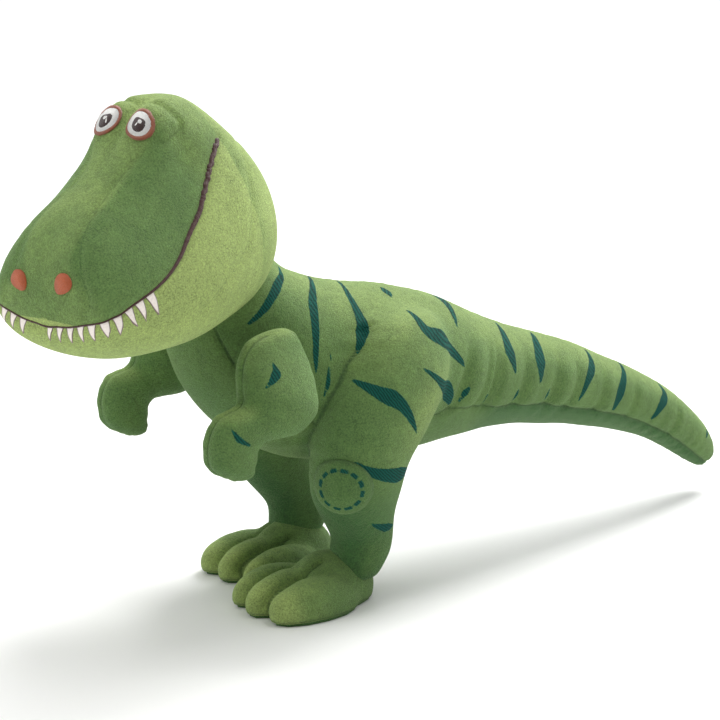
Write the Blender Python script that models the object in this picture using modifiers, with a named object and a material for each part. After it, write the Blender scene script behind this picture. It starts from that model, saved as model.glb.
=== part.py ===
"""Stuffed dinosaur: sewn velour panels over soft fillings, standing on two flat soles.

Frame: the dinosaur looks along -Y, its left side is +X and up is +Z. The last step moves it so that
the origin is on the floor under its middle.
Sizes are in millimetres here and are turned into metres when a point is made.
"""

import math

import bpy
from mathutils import Matrix, Vector

MM = 0.001

# Cloth and clearances.
FABRIC = 1.6
SEAM_GAP = 0.25
PIECE_GAP = 0.5
FILL_GAP = 0.6
HEAD_FILL_GAP = 2.2

# Overall sizes: these two scale the trunk and the head as a whole.
TRUNK_GIRTH = 1.0
HEAD_GIRTH = 1.0

# Head turning on the neck.
NECK_Y = -120.0
HEAD_YAW = math.radians(17)
HEAD_LEAN = math.radians(3)
HEAD_SHIFT = 3.0
HEAD_TURNS = (-30, -20, -10, 0, 6, 12)
HEAD_CLEAR = 0.8
NECK_FOOT = 176.0
NECK_RADIUS = 20.0
NECK_TOP = 262.0

# Tail swaying on an upright axis inside the rump.
TAIL_Y = 150.0
TAIL_RADIUS = 43.0

# Arms.
ARM_PLANE = 50.0
SHOULDER = (-114.0, 168.0)
ARM_BACKSET = {1: 0.0, -1: 16.0}

# Feet.
FLOOR = 5.0
SOLE = 2.0
FOOT_WALL = 2.6
FOOT_PLACE = {1: (24.0, 0.0), -1: (44.0, 28.0)}

# Face.
EYE_RADIUS = 10.0
EYE_WHITE = 7.6
PUPIL = 3.6
CORD_RADIUS = 1.3
TOOTH_LENGTH = 11.0
KNEE_RADIUS = 19.0

# Trunk sections from neck to tail tip: back y, z, belly y, z, half width.
# The first two go round the neck.
TRUNK = [
    (NECK_Y + NECK_RADIUS + 12, 238, NECK_Y - NECK_RADIUS - 16, 212, NECK_RADIUS + 10),
    (NECK_Y + NECK_RADIUS + 34, 219, NECK_Y - NECK_RADIUS - 7, 184, NECK_RADIUS + 21),
    (-40, 209, -132, 146, 47),
    (-8, 203, -98, 112, 52),
    (26, 198, -48, 92, 58),
    (60, 188, 8, 87, 56),
    (98, 171, 70, 90, 47),
    (146, 155, 122, 90, 39),
    (188, 142, 170, 83, 33),
    (226, 127, 212, 75, 29),
    (260, 112, 248, 66, 25),
    (293, 96, 282, 54, 22),
    (322, 77, 308, 42, 18),
    (343, 60, 331, 29, 14),
    (357, 43, 347, 22, 9),
    (361, 33, 357, 27.5, 2.4),
]

# Head sections from muzzle to nape: upper y, z, lower y, z, half width.
HEAD = [
    (-266, 212, -266, 210, 2),
    (-265, 234, -262, 197, 34),
    (-260, 253, -250, 189, 43),
    (-248, 268, -230, 184, 49),
    (-230, 284, -205, 182, 54),
    (-210, 303, -180, 181, 57),
    (-192, 318, -156, 182, 57),
    (-168, 327, -134, 186, 55),
    (-142, 321, -116, 193, 50),
    (-119, 304, -102, 205, 41),
    (-102, 281, -94, 226, 27),
    (-94, 256, -92, 248, 3),
]
HEAD_TAPER = [0.0, 0.1, 0.18, 0.26, 0.32, 0.36, 0.36, 0.3, 0.2, 0.1, 0.0, 0.0]

# Arm sections from shoulder to fingertips: x, front y, z, back y, z, half thickness.
ARM = [
    (62, -114, 192, -106, 192, 2),
    (63, -132, 187, -98, 187, 12),
    (65, -143, 176, -94, 172, 17),
    (67, -147, 162, -93, 155, 19),
    (69, -147, 154, -95, 140, 19),
    (70, -152, 151, -112, 130, 17),
    (70, -164, 147, -130, 130, 15),
    (69, -171, 134, -137, 126, 14),
    (68, -169, 118, -138, 116, 13),
    (67, -156, 109, -139, 109, 8),
    (67, -149, 108, -143, 108, 2),
]

# Leg sections from hip to ankle: z, x, y, half width, half depth.
LEG = [
    (190, 38, -2, 4, 6),
    (182, 40, -4, 20, 32),
    (162, 43, -12, 29, 44),
    (140, 46, -21, 32, 46),
    (116, 48, -33, 31, 41),
    (96, 47, -40, 29, 33),
    (78, 45, -41, 25, 30),
    (62, 41, -36, 21, 25),
    (46, 37, -29, 18, 21),
    (34, 35, -28, 19, 22),
]
LEG_BACKSET = {1: 0.0, -1: 17.0}
LEG_SPREAD = {1: 0.0, -1: 16.0}

# Foot lobes: x, y of the middle, half width, half length, height.
LOBES = [
    (-21, -75, 13, 31, 23),
    (0, -79, 14, 32, 25),
    (22, -75, 16, 34, 24),
    (4, -49, 24, 32, 33),
]

# Head seams, as angles round the section at each station: the mouth line and the crown seam.
MOUTH_SEAM = [-34, -25, -9, -1, 7, 16, 27, 39, 40, 35, 30, 30]
CROWN_SEAM = 55.0
HEAD_STATIONS = [0, 0.45, 1, 1.7, 2.5, 3.4, 4.3, 5.2, 5.9, 6.6, 7.2, 8.2, 9.2, 10.1, 11]
BROW_START = 5.2
MOUTH_END = 6.6
BROW_END = 7.2
BROW_RAISE = 4.0

COLOURS = {
    "velour_green": (0.10, 0.30, 0.07),
    "velour_light": (0.25, 0.42, 0.10),
    "velour_dark": (0.05, 0.19, 0.06),
    "felt_white": (0.85, 0.74, 0.68),
    "thread_orange": (0.48, 0.13, 0.03),
    "thread_white": (0.88, 0.88, 0.84),
    "thread_dark": (0.05, 0.02, 0.02),
    "polyester_fibre": (0.80, 0.80, 0.78),
    "pellet_pouch": (0.62, 0.60, 0.55),
}


def clear_scene():
    for item in list(bpy.data.objects):
        bpy.data.objects.remove(item, do_unlink=True)


def material(name):
    made = bpy.data.materials.get(name)
    if made:
        return made
    made = bpy.data.materials.new(name)
    made.use_nodes = True
    shader = made.node_tree.nodes["Principled BSDF"]
    shader.inputs["Base Color"].default_value = (*COLOURS[name], 1)
    shader.inputs["Roughness"].default_value = 0.9
    made.diffuse_color = (*COLOURS[name], 1)
    return made


def between(rows, t):
    """Values at place t along the rows, on a smooth curve through all of them."""
    last = len(rows) - 1
    t = min(max(t, 0.0), float(last))
    i = min(int(t), last - 1)
    f = t - i
    b = rows[i]
    c = rows[i + 1]
    a = rows[i - 1] if i > 0 else [2 * p - q for p, q in zip(b, c)]
    d = rows[i + 2] if i + 2 <= last else [2 * q - p for p, q in zip(b, c)]
    out = []
    for p0, p1, p2, p3 in zip(a, b, c, d):
        first = p2 - p0
        second = 2 * p0 - 5 * p1 + 4 * p2 - p3
        third = -p0 + 3 * p1 - 3 * p2 + p3
        out.append(0.5 * (2 * p1 + first * f + second * f * f + third * f * f * f))
    return out


class Form:
    """A soft shape lofted through sections. u runs along it, v is the angle round it from +X."""

    def __init__(self, rows, kind, side=1, taper=None, bump=None):
        self.rows = rows
        self.kind = kind
        self.side = side
        self.taper = taper
        self.bump = bump
        self.last = len(rows) - 1

    def point(self, u, v, lift=0.0):
        place = self.place(u, v)
        raised = lift + (self.bump(u, v) if self.bump else 0.0)
        if abs(raised) > 1e-9:
            place = place + self.normal(u, v) * raised
        return place

    def place(self, u, v):
        c = math.cos(v)
        s = math.sin(v)
        row = between(self.rows, u)
        if self.kind == "stack":
            z, x, y, wide, deep = row
            return Vector((self.side * (x + wide * c), y + deep * s, z))
        x = row[0]
        yt, zt, yb, zb, wide = row[1:]
        across = wide * c * (1 - self.narrowing(u) * s)
        y = (yt + yb) / 2 + (yt - yb) / 2 * s
        z = (zt + zb) / 2 + (zt - zb) / 2 * s
        return Vector((self.side * (x + across), y, z))

    def narrowing(self, u):
        """How much narrower than its middle the section is at the top."""
        return between([(value,) for value in self.taper], u)[0] if self.taper else 0.0

    def normal(self, u, v):
        step = 0.02
        low = max(u - step, 0.0)
        high = min(u + step, float(self.last))
        along = self.place(high, v) - self.place(low, v)
        round_it = self.place(u, v + step) - self.place(u, v - step)
        out = along.cross(round_it)
        if out.length < 1e-9:
            return Vector((0, 0, 1))
        out.normalize()
        row = between(self.rows, u)
        if self.kind == "stack":
            middle = Vector((self.side * row[1], row[2], row[0]))
        else:
            middle = Vector((self.side * row[0], (row[1] + row[3]) / 2, (row[2] + row[4]) / 2))
        return out if out.dot(self.place(u, v) - middle) > 0 else -out


def make(name, points, faces, slot, pivot=(0, 0, 0), turn=(0, 0, 0), helper=False):
    """A mesh object whose origin is the pivot. The points are given round the same pivot, unturned."""
    centre = Vector(pivot)
    mesh = bpy.data.meshes.new(name)
    mesh.from_pydata([(Vector(p) - centre) * MM for p in points], [], faces)
    mesh.validate()
    mesh.shade_smooth()
    made = bpy.data.objects.new(name, mesh)
    made.location = centre * MM
    made.rotation_euler = turn
    if helper:
        helpers.objects.link(made)
        made.hide_render = True
        made.display_type = "WIRE"
    else:
        pieces.objects.link(made)
        mesh.materials.append(material(slot))
    return made


def facing_out(points, faces, form_normal):
    """The faces turned so that the first one looks the way of the form's normal."""
    a, b, c = (Vector(points[i]) for i in faces[0][:3])
    if (b - a).cross(c - a).dot(form_normal) < 0:
        return [tuple(reversed(face)) for face in faces]
    return faces


class Net:
    """Places on a form where its cloth is cut. stations are the u values, and ring(u) gives the angles."""

    def __init__(self, form, stations, ring):
        self.form = form
        self.stations = stations
        self.angles = [[math.radians(angle) for angle in ring(u)] for u in stations]
        self.count = len(self.angles[0])

    def angle(self, i, j):
        turns, column = divmod(j, self.count)
        return self.angles[i][column] + 2 * math.pi * turns

    def point(self, i, j, lift=0.0, nudge=(0.0, 0.0)):
        return self.form.point(self.stations[i] + nudge[0], self.angle(i, j) + nudge[1], lift)


def pulled_in(net, cells, i, j):
    """The small step that takes an edge corner of a panel off the seam line, as du, dv."""
    near = [(i + a, j + b) for a in (-1, 0) for b in (-1, 0)]
    own = [cell for cell in near if cell in cells]
    if len(own) == 4:
        return 0.0, 0.0
    du = 0.0
    dv = 0.0
    for a, b in own:
        du += (net.stations[a] + net.stations[a + 1]) / 2 - net.stations[i]
        dv += (net.angle(a, b) + net.angle(a, b + 1)) / 2 - net.angle(i, j)
    inside = net.point(i, j, 0.0, (du * 0.02, dv * 0.02))
    size = (inside - net.point(i, j)).length / 0.02
    share = min(SEAM_GAP / max(size, 0.01), 0.25)
    return du * share, dv * share


def panel(name, net, slot, cells, thick=FABRIC, **where):
    """A piece of cloth over the given cells of the net, sewn edge to edge with its neighbours."""
    chosen = set(cells)
    corners = sorted({(i + a, j + b) for i, j in chosen for a in (0, 1) for b in (0, 1)})
    number = {corner: index for index, corner in enumerate(corners)}
    total = len(corners)
    steps = [pulled_in(net, chosen, i, j) for i, j in corners]
    points = [net.point(i, j, 0.0, step) for (i, j), step in zip(corners, steps)]
    points += [net.point(i, j, -thick, step) for (i, j), step in zip(corners, steps)]
    faces = []
    edges = {}
    for i, j in chosen:
        loop = [number[i, j], number[i, j + 1], number[i + 1, j + 1], number[i + 1, j]]
        faces.append(tuple(loop))
        faces.append(tuple(total + k for k in reversed(loop)))
        for k in range(4):
            edges[loop[k], loop[(k + 1) % 4]] = True
    for a, b in edges:
        if (b, a) not in edges:
            faces.append((b, a, total + a, total + b))
    return make(name, points, outward(points, faces), slot, **where)


def outward(points, faces):
    """The faces, all turned round if they enclose a negative volume."""
    volume = 0.0
    for face in faces:
        for k in range(1, len(face) - 1):
            volume += points[face[0]].dot(points[face[k]].cross(points[face[k + 1]]))
    return faces if volume > 0 else [tuple(reversed(face)) for face in faces]


def block(first, last, left, right):
    """All cells from station first to last and from column left to right."""
    return [(i, j) for i in range(first, last) for j in range(left, right)]


def solidify(made, thick, inward=True):
    shell = made.modifiers.new("cloth", "SOLIDIFY")
    shell.thickness = thick * MM
    shell.offset = -1.0 if inward else 1.0
    shell.use_even_offset = True


def closed_net(name, net, lift, first, last, slot, **where):
    """The whole form between two stations, raised or sunk by lift, with flat ends."""
    n = net.count
    points = [net.point(i, j, lift) for i in range(first, last + 1) for j in range(n)]
    faces = []
    for i in range(last - first):
        for j in range(n):
            k = (j + 1) % n
            faces.append((i * n + j, i * n + k, (i + 1) * n + k, (i + 1) * n + j))
    faces.append(tuple(reversed(range(n))))
    faces.append(tuple((last - first) * n + j for j in range(n)))
    return make(name, points, outward(points, faces), slot, **where)


def filling(name, net, first, last, slot="polyester_fibre", sink=FABRIC + FILL_GAP, **where):
    return closed_net(name, net, -sink, first, last, slot, **where)


def envelope(name, net):
    return closed_net(name, net, PIECE_GAP, 0, len(net.stations) - 1, None, helper=True)


def boolean(made, cutter, operation="DIFFERENCE"):
    change = made.modifiers.new(cutter.name, "BOOLEAN")
    change.object = cutter
    change.operation = operation
    change.solver = "EXACT"


def box(name, low, high):
    corners = [(x, y, z) for x in (low[0], high[0]) for y in (low[1], high[1]) for z in (low[2], high[2])]
    faces = [(0, 1, 3, 2), (4, 6, 7, 5), (0, 4, 5, 1), (2, 3, 7, 6), (0, 2, 6, 4), (1, 5, 7, 3)]
    return make(name, corners, faces, None, helper=True)


def upright(name, centre, radius, low, high, sides, slot=None, back=None, **where):
    """An upright round bar, or with back given a bar whose far side runs on straight to y = back."""
    ring = []
    for i in range(sides):
        angle = math.pi + math.pi * i / (sides - 1) if back else 2 * math.pi * i / sides
        ring.append((centre[0] + radius * math.cos(angle), centre[1] + radius * math.sin(angle)))
    if back:
        ring.append((ring[-1][0] + 60, centre[1] + 60))
        ring.append((ring[-2][0] + 120, back))
        ring.append((-ring[-3][0] - 120, back))
        ring.append((-ring[-4][0] - 60, centre[1] + 60))
    count = len(ring)
    points = [(x, y, low) for x, y in ring] + [(x, y, high) for x, y in ring]
    faces = [tuple(reversed(range(count))), tuple(range(count, 2 * count))]
    for i in range(count):
        j = (i + 1) % count
        faces.append((i, j, j + count, i + count))
    return make(name, points, faces, slot, helper=slot is None, **where)


def applique(name, form, slot, u0, v0, inner, outer, lift, thick, rings, sides, stretch=1.0, **where):
    """A flat embroidered shape that follows the surface: a disc, or a ring when inner is above zero."""
    step = 0.05
    per_u = (form.point(u0 + step, v0) - form.point(u0 - step, v0)).length / (2 * step)
    per_v = (form.point(u0, v0 + step) - form.point(u0, v0 - step)).length / (2 * step)
    points = []
    faces = []
    radii = [inner + (outer - inner) * i / rings for i in range(rings + 1)]
    if inner == 0:
        points.append(form.point(u0, v0, lift))
        radii = radii[1:]
    start = len(points)
    for radius in radii:
        for j in range(sides):
            angle = 2 * math.pi * j / sides
            du = radius * stretch * math.cos(angle) / per_u
            dv = radius * math.sin(angle) / per_v
            points.append(form.point(u0 + du, v0 + dv, lift))
    if inner == 0:
        for j in range(sides):
            faces.append((0, 1 + j, 1 + (j + 1) % sides))
    for i in range(len(radii) - 1):
        for j in range(sides):
            k = (j + 1) % sides
            a = start + i * sides
            faces.append((a + j, a + sides + j, a + sides + k, a + k))
    faces = facing_out(points, faces, form.normal(u0, v0))
    made = make(name, points, faces, slot, **where)
    solidify(made, thick, inward=False)
    return made


def ring_of(*seams):
    """Angles round a ring: each seam is a first angle, a last angle and a number of columns."""
    angles = []
    for first, last, count in seams:
        angles += [first + (last - first) * k / count for k in range(count)]
    return angles


def spread(first, last, count):
    return [first + (last - first) * k / count for k in range(count + 1)]


def mouth_angle(u):
    return between([(angle,) for angle in MOUTH_SEAM], u)[0]


def brow_bump(u, v):
    """Two low swellings above the eyes."""
    total = 0.0
    for centre in (math.radians(72), math.radians(108)):
        near = ((u - 5.9) / 0.9) ** 2 + ((v - centre) / 0.30) ** 2
        total += BROW_RAISE * math.exp(-near)
    return total


def trunk_pieces(head_envelopes):
    rows = [(0, *row[:4], row[4] * TRUNK_GIRTH) for row in TRUNK]
    trunk = Form(rows, "pair")
    rump_cut = upright("rump_cut", (0, TAIL_Y), TAIL_RADIUS + PIECE_GAP, -20, 300, 17, back=500)
    tail_cut = upright("tail_cut", (0, TAIL_Y), TAIL_RADIUS, -20, 300, 17, back=500)
    axis = (0, TAIL_Y, 120)
    torso_net = Net(trunk, spread(0.6, 7.0, 11), lambda u: ring_of((-46, 90, 8), (90, 226, 8), (226, 314, 5)))
    last = len(torso_net.stations) - 1
    made = [
        panel("torso_back_left", torso_net, "velour_green", block(0, last, 0, 8)),
        panel("torso_back_right", torso_net, "velour_green", block(0, last, 8, 16)),
        panel("torso_belly", torso_net, "velour_light", block(0, last, 16, 21)),
        filling("torso_filling", torso_net, 0, last),
    ]
    boolean(made[-1], upright("neck_socket", (0, NECK_Y), NECK_RADIUS + PIECE_GAP, NECK_FOOT - 0.5, 300, 20))
    for item in made:
        for turned in head_envelopes:
            boolean(item, turned)
        boolean(item, rump_cut)
    tail_net = Net(trunk, spread(5.7, trunk.last, 12), lambda u: ring_of((-40, 90, 7), (90, 220, 7), (220, 320, 4)))
    last = len(tail_net.stations) - 1
    tail = [
        panel("tail_left", tail_net, "velour_green", block(0, last, 0, 7), pivot=axis),
        panel("tail_right", tail_net, "velour_green", block(0, last, 7, 14), pivot=axis),
        panel("tail_underside", tail_net, "velour_light", block(0, last, 14, 18), pivot=axis),
        filling("tail_filling", tail_net, 0, last - 2, pivot=axis),
    ]
    for item in tail:
        boolean(item, tail_cut, "INTERSECT")
    upright("neck_filling", (0, NECK_Y), NECK_RADIUS, NECK_FOOT, NECK_TOP, 20, "polyester_fibre")
    whole = Net(trunk, spread(0.6, 7.0, 11) + spread(7.6, trunk.last, 6),
                lambda u: ring_of((-46, 90, 8), (90, 226, 8), (226, 314, 5)))
    return envelope("trunk_envelope", whole)


def head_ring(u):
    mouth = mouth_angle(u)
    far = 180 - CROWN_SEAM
    return ring_of((-90, mouth, 6), (mouth, CROWN_SEAM, 4), (CROWN_SEAM, far, 6),
                   (far, 180 - mouth, 4), (180 - mouth, 270, 6))


def head_net():
    back = HEAD_SHIFT
    rows = [(0, yt + back, zt, yb + back, zb, wide * HEAD_GIRTH) for yt, zt, yb, zb, wide in HEAD]
    head = Form(rows, "pair", taper=HEAD_TAPER, bump=brow_bump)
    return Net(head, HEAD_STATIONS, head_ring)


def head_sweep(net):
    """Copies of the head turned through its range, a little larger, to clear the neck of the torso."""
    last = len(net.stations) - 1
    return [closed_net(f"head_turned_{index}", net, HEAD_CLEAR, 0, last, None, helper=True,
                       pivot=(0, NECK_Y, 220), turn=(0, HEAD_LEAN, HEAD_YAW + math.radians(angle)))
            for index, angle in enumerate(HEAD_TURNS)]


def head_pieces(net):
    head = net.form
    where = {"pivot": (0, NECK_Y, 220), "turn": (0, HEAD_LEAN, HEAD_YAW)}
    last = len(HEAD_STATIONS) - 1
    brow = HEAD_STATIONS.index(BROW_START)
    crown = HEAD_STATIONS.index(BROW_END)
    corner = HEAD_STATIONS.index(MOUTH_END)
    made = [
        panel("snout_top", net, "velour_green", block(0, brow, 10, 16), **where),
        panel("brow_left", net, "velour_green", block(brow, crown, 10, 13), **where),
        panel("brow_right", net, "velour_green", block(brow, crown, 13, 16), **where),
        panel("head_crown", net, "velour_green", block(crown, last, 10, 16), **where),
        panel("cheek_left", net, "velour_green", block(0, corner, 6, 10), **where),
        panel("cheek_right", net, "velour_green", block(0, corner, 16, 20), **where),
        panel("jaw_left", net, "velour_light", block(0, last, 0, 6) + block(corner, last, 6, 10), **where),
        panel("jaw_right", net, "velour_light", block(0, last, 20, 26) + block(corner, last, 16, 20), **where),
        filling("head_filling", net, 1, last - 1, sink=FABRIC + HEAD_FILL_GAP, **where),
    ]
    neck_hole = upright("neck_hole", (0, NECK_Y), NECK_RADIUS + PIECE_GAP, 100, NECK_TOP + 2, 20)
    for item in made[-3:]:
        boolean(item, neck_hole)
    for side, word in ((1, "left"), (-1, "right")):
        eye_v = math.radians(90 - 20 * side)
        eye_u = 5.62
        nose_v = math.radians(90 - 36 * side)
        edge = 0.35
        applique(f"eye_ring_{word}", head, "thread_orange", eye_u, eye_v, EYE_WHITE, EYE_RADIUS,
                 edge, 0.8, 1, 20, **where)
        applique(f"eye_white_{word}", head, "thread_white", eye_u, eye_v, PUPIL + 0.2, EYE_WHITE - 0.2,
                 edge, 0.8, 1, 20, **where)
        applique(f"pupil_{word}", head, "thread_dark", eye_u, eye_v, 0, PUPIL, edge, 0.8, 1, 16, **where)
        applique(f"nostril_{word}", head, "thread_orange", 1.05, nose_v, 0, 6.5, edge, 0.8, 2, 16, **where)
        teeth(f"teeth_{word}", head, side, where)
    mouth_cord(head, where)


def mouth_path(head, u, side, below=0.0, lift=0.0):
    """A point on the mouth line, or that many millimetres below it along the jaw."""
    angle = math.radians(mouth_angle(u))
    if side < 0:
        angle = math.pi - angle
    step = 0.02
    per_v = (head.place(u, angle + step) - head.place(u, angle - step)).length / (2 * step)
    return head.point(u, angle - side * below / max(per_v, 12.0), lift)


def teeth(name, head, side, where):
    """A felt strip below the mouth line, cut into pointed teeth that grow toward the corner."""
    count = 8
    start = 0.4
    finish = 3.7
    upper = []
    lower = []
    for i in range(count * 2 + 1):
        u = start + (finish - start) * (i / (count * 2)) ** 1.15
        length = TOOTH_LENGTH * (0.72 + 0.4 * i / (count * 2))
        drop = length if i % 2 else 0.0
        upper.append(mouth_path(head, u, side, CORD_RADIUS + 1.2, 1.4))
        lower.append(mouth_path(head, u, side, CORD_RADIUS + 2.6 + drop, 1.4))
    total = len(upper)
    points = upper + lower
    faces = [(i, i + 1, total + i + 1, total + i) for i in range(total - 1)]
    faces = facing_out(points, faces, head.normal(1.2, math.radians(-8 if side > 0 else 188)))
    made = make(name, points, faces, "felt_white", **where)
    solidify(made, 1.0, inward=False)


def mouth_cord(head, where):
    """A thick embroidered line that runs from the right corner of the mouth round the front to the left."""
    centre = Vector(where["pivot"])
    places = []
    for side, order in ((-1, range(22, 0, -1)), (1, range(1, 23))):
        for i in order:
            u = 0.02 + (MOUTH_END - 0.1) * (i / 22) ** 1.25
            places.append(mouth_path(head, u, side, 0.0, CORD_RADIUS + 0.9))
    curve = bpy.data.curves.new("mouth_cord", "CURVE")
    curve.dimensions = "3D"
    curve.bevel_depth = CORD_RADIUS * MM
    curve.bevel_resolution = 1
    curve.use_fill_caps = True
    line = curve.splines.new("POLY")
    line.points.add(len(places) - 1)
    for target, place in zip(line.points, places):
        target.co = (*((place - centre) * MM), 1)
    curve.materials.append(material("thread_dark"))
    made = bpy.data.objects.new("mouth_cord", curve)
    made.location = centre * MM
    made.rotation_euler = where["turn"]
    pieces.objects.link(made)


def arm_push():
    """How far the arms move out when the trunk beside them grows."""
    return max(row[4] for row in TRUNK[1:4]) * (TRUNK_GIRTH - 1)


def arm_pieces(side, word):
    shift = ARM_BACKSET[side]
    push = arm_push()
    rows = [(x + push, yf + shift, zf, yb + shift, zb, w) for x, yf, zf, yb, zb, w in ARM]
    arm = Form(rows, "pair", side=side)
    where = {"pivot": (side * (ARM_PLANE + push), SHOULDER[0] + shift, SHOULDER[1])}
    net = Net(arm, spread(0, arm.last, 10), lambda u: ring_of((-90, 270, 12)))
    inside = box(f"body_side_{word}", *sorted_corners(side))
    made = [
        panel(f"arm_{word}_outer", net, "velour_green", block(0, 10, 0, 6), **where),
        panel(f"arm_{word}_inner", net, "velour_light", block(0, 10, 6, 12), **where),
        filling(f"arm_{word}_filling", net, 1, 9, **where),
    ]
    for item in made:
        boolean(item, inside)


def sorted_corners(side):
    edge = side * (ARM_PLANE + arm_push())
    return (min(0, edge), -300, 0), (max(0, edge), 100, 300)


def leg_form(side):
    back = LEG_BACKSET[side]
    out = LEG_SPREAD[side]
    rows = []
    for z, x, y, wide, deep in LEG:
        lower = min(max((150 - z) / 100, 0.0), 1.0)
        rows.append((z, x + out * lower, y + back * lower, wide, deep))
    return Form(rows, "stack", side=side)


def leg_pieces(side, word, trunk_cut, foot_cut):
    leg = leg_form(side)
    net = Net(leg, spread(0, leg.last, 9), lambda u: ring_of((-90, 270, 16)))
    made = [
        panel(f"leg_{word}_outer", net, "velour_green", block(0, 9, 0, 8)),
        panel(f"leg_{word}_inner", net, "velour_green", block(3, 9, 8, 16)),
        filling(f"leg_{word}_filling", net, 1, 9),
    ]
    for item in made:
        boolean(item, trunk_cut)
        boolean(item, foot_cut)
    applique(f"knee_patch_{word}", leg, "velour_light", 5.3, math.radians(-44), 0, KNEE_RADIUS, 0.35, 1.2,
             3, 20)


def lobe_union(name, side, shrink, slot, sides=12, bands=6, helper=False):
    """Three toes and a heel joined into one body. Its underside runs below the floor until it is cut."""
    px, py = FOOT_PLACE[side]
    lobes = []
    for index, (x, y, wide, long, high) in enumerate(LOBES):
        points = []
        faces = []
        centre = Vector((side * (px + x), py + y, FLOOR + high * 0.30))
        size = Vector((wide - shrink, long - shrink, high * 0.70 - shrink))
        points.append(centre + Vector((0, 0, size.z)))
        for i in range(1, bands):
            fall = math.pi * i / bands
            for j in range(sides):
                angle = 2 * math.pi * (j + 0.5 * (index % 2)) / sides
                ring = Vector((math.cos(angle) * size.x, math.sin(angle) * size.y, 0)) * math.sin(fall)
                points.append(centre + ring + Vector((0, 0, math.cos(fall) * size.z)))
        points.append(centre - Vector((0, 0, size.z)))
        final = len(points) - 1
        for j in range(sides):
            k = (j + 1) % sides
            faces.append((0, 1 + j, 1 + k))
            base = 1 + (bands - 2) * sides
            faces.append((base + k, base + j, final))
            for i in range(bands - 2):
                a = 1 + i * sides
                faces.append((a + j, a + sides + j, a + sides + k, a + k))
        hidden = helper or index > 0
        lobes.append(make(name if index == 0 else f"{name}_lobe{index}", points, faces,
                          None if hidden else slot, helper=hidden))
    for other in lobes[1:]:
        boolean(lobes[0], other, "UNION")
    return lobes[0]


def foot_pieces(side, word):
    upper = lobe_union(f"foot_{word}_upper", side, 0, "velour_dark")
    hollow = lobe_union(f"foot_hollow_{word}", side, FOOT_WALL, None, helper=True)
    pouch = lobe_union(f"foot_{word}_pouch", side, FOOT_WALL + FILL_GAP, "pellet_pouch")
    sole = lobe_union(f"foot_{word}_sole", side, 0, "velour_dark")
    below = box(f"below_{word}", (-200, -250, -100), (200, 200, FLOOR + SOLE + 0.3))
    slab = box(f"sole_slab_{word}", (-200, -250, FLOOR), (200, 200, FLOOR + SOLE))
    boolean(upper, hollow)
    boolean(upper, below)
    boolean(pouch, below)
    boolean(sole, slab, "INTERSECT")
    return lobe_union(f"foot_cut_{word}", side, -PIECE_GAP, None, helper=True)


def centre_on_floor():
    """Moves everything so that the origin is under the middle of the whole, at floor level."""
    bpy.context.view_layer.update()
    graph = bpy.context.evaluated_depsgraph_get()
    low = Vector((1e9, 1e9, 1e9))
    high = -low
    for item in pieces.objects:
        seen = item.evaluated_get(graph)
        mesh = seen.to_mesh()
        for vertex in mesh.vertices:
            place = seen.matrix_world @ vertex.co
            low = Vector(map(min, low, place))
            high = Vector(map(max, high, place))
        seen.to_mesh_clear()
    shift = Vector((-(low.x + high.x) / 2, -(low.y + high.y) / 2, -low.z))
    for item in bpy.data.objects:
        item.location += shift
    print("centred by", [round(value / MM, 3) for value in shift], "size", (high - low) / MM)


clear_scene()
pieces = bpy.data.collections.new("stuffed_dinosaur")
helpers = bpy.data.collections.new("cutters")
bpy.context.scene.collection.children.link(pieces)
bpy.context.scene.collection.children.link(helpers)

head_shape = head_net()
trunk_envelope = trunk_pieces(head_sweep(head_shape))
head_pieces(head_shape)
for hand, label in ((1, "left"), (-1, "right")):
    arm_pieces(hand, label)
    foot_envelope = foot_pieces(hand, label)
    leg_pieces(hand, label, trunk_envelope, foot_envelope)
centre_on_floor()
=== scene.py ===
"""Looks of the stuffed dinosaur: velour skins with their seams and stripes, embroidered face, felt teeth.

Sizes are in millimetres in the maker's own frame: the dinosaur looks along -Y, its left side is +X and
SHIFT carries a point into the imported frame. Skins are lofted through the same sections as the patterns
they were cut from, then softened, puckered along their seams and given a pile.
"""

import math

import bpy
import numpy as np
from mathutils import Euler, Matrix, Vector
from mathutils.bvhtree import BVHTree


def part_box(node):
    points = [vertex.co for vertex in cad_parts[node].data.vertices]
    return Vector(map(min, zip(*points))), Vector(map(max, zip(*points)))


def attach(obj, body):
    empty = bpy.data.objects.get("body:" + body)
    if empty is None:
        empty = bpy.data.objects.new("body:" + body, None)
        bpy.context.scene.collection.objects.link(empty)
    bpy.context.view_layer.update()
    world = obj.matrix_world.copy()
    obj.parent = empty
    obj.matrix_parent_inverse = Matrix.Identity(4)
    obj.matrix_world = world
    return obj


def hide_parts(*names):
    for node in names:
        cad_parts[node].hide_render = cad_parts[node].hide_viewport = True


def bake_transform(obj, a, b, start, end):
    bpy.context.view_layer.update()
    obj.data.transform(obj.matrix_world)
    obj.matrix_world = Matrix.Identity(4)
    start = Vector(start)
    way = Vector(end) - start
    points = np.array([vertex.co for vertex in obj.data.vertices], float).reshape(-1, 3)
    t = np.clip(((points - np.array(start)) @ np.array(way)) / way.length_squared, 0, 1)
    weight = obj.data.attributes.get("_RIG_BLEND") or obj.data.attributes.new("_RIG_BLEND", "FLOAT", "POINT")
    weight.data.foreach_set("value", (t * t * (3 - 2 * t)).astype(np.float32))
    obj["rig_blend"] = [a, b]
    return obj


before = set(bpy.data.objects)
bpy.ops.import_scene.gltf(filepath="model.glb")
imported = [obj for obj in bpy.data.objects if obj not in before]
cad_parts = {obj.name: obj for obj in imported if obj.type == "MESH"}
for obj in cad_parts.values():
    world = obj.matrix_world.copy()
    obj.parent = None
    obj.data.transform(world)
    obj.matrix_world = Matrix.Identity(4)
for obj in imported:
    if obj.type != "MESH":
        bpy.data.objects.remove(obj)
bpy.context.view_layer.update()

MM = 0.001
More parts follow.
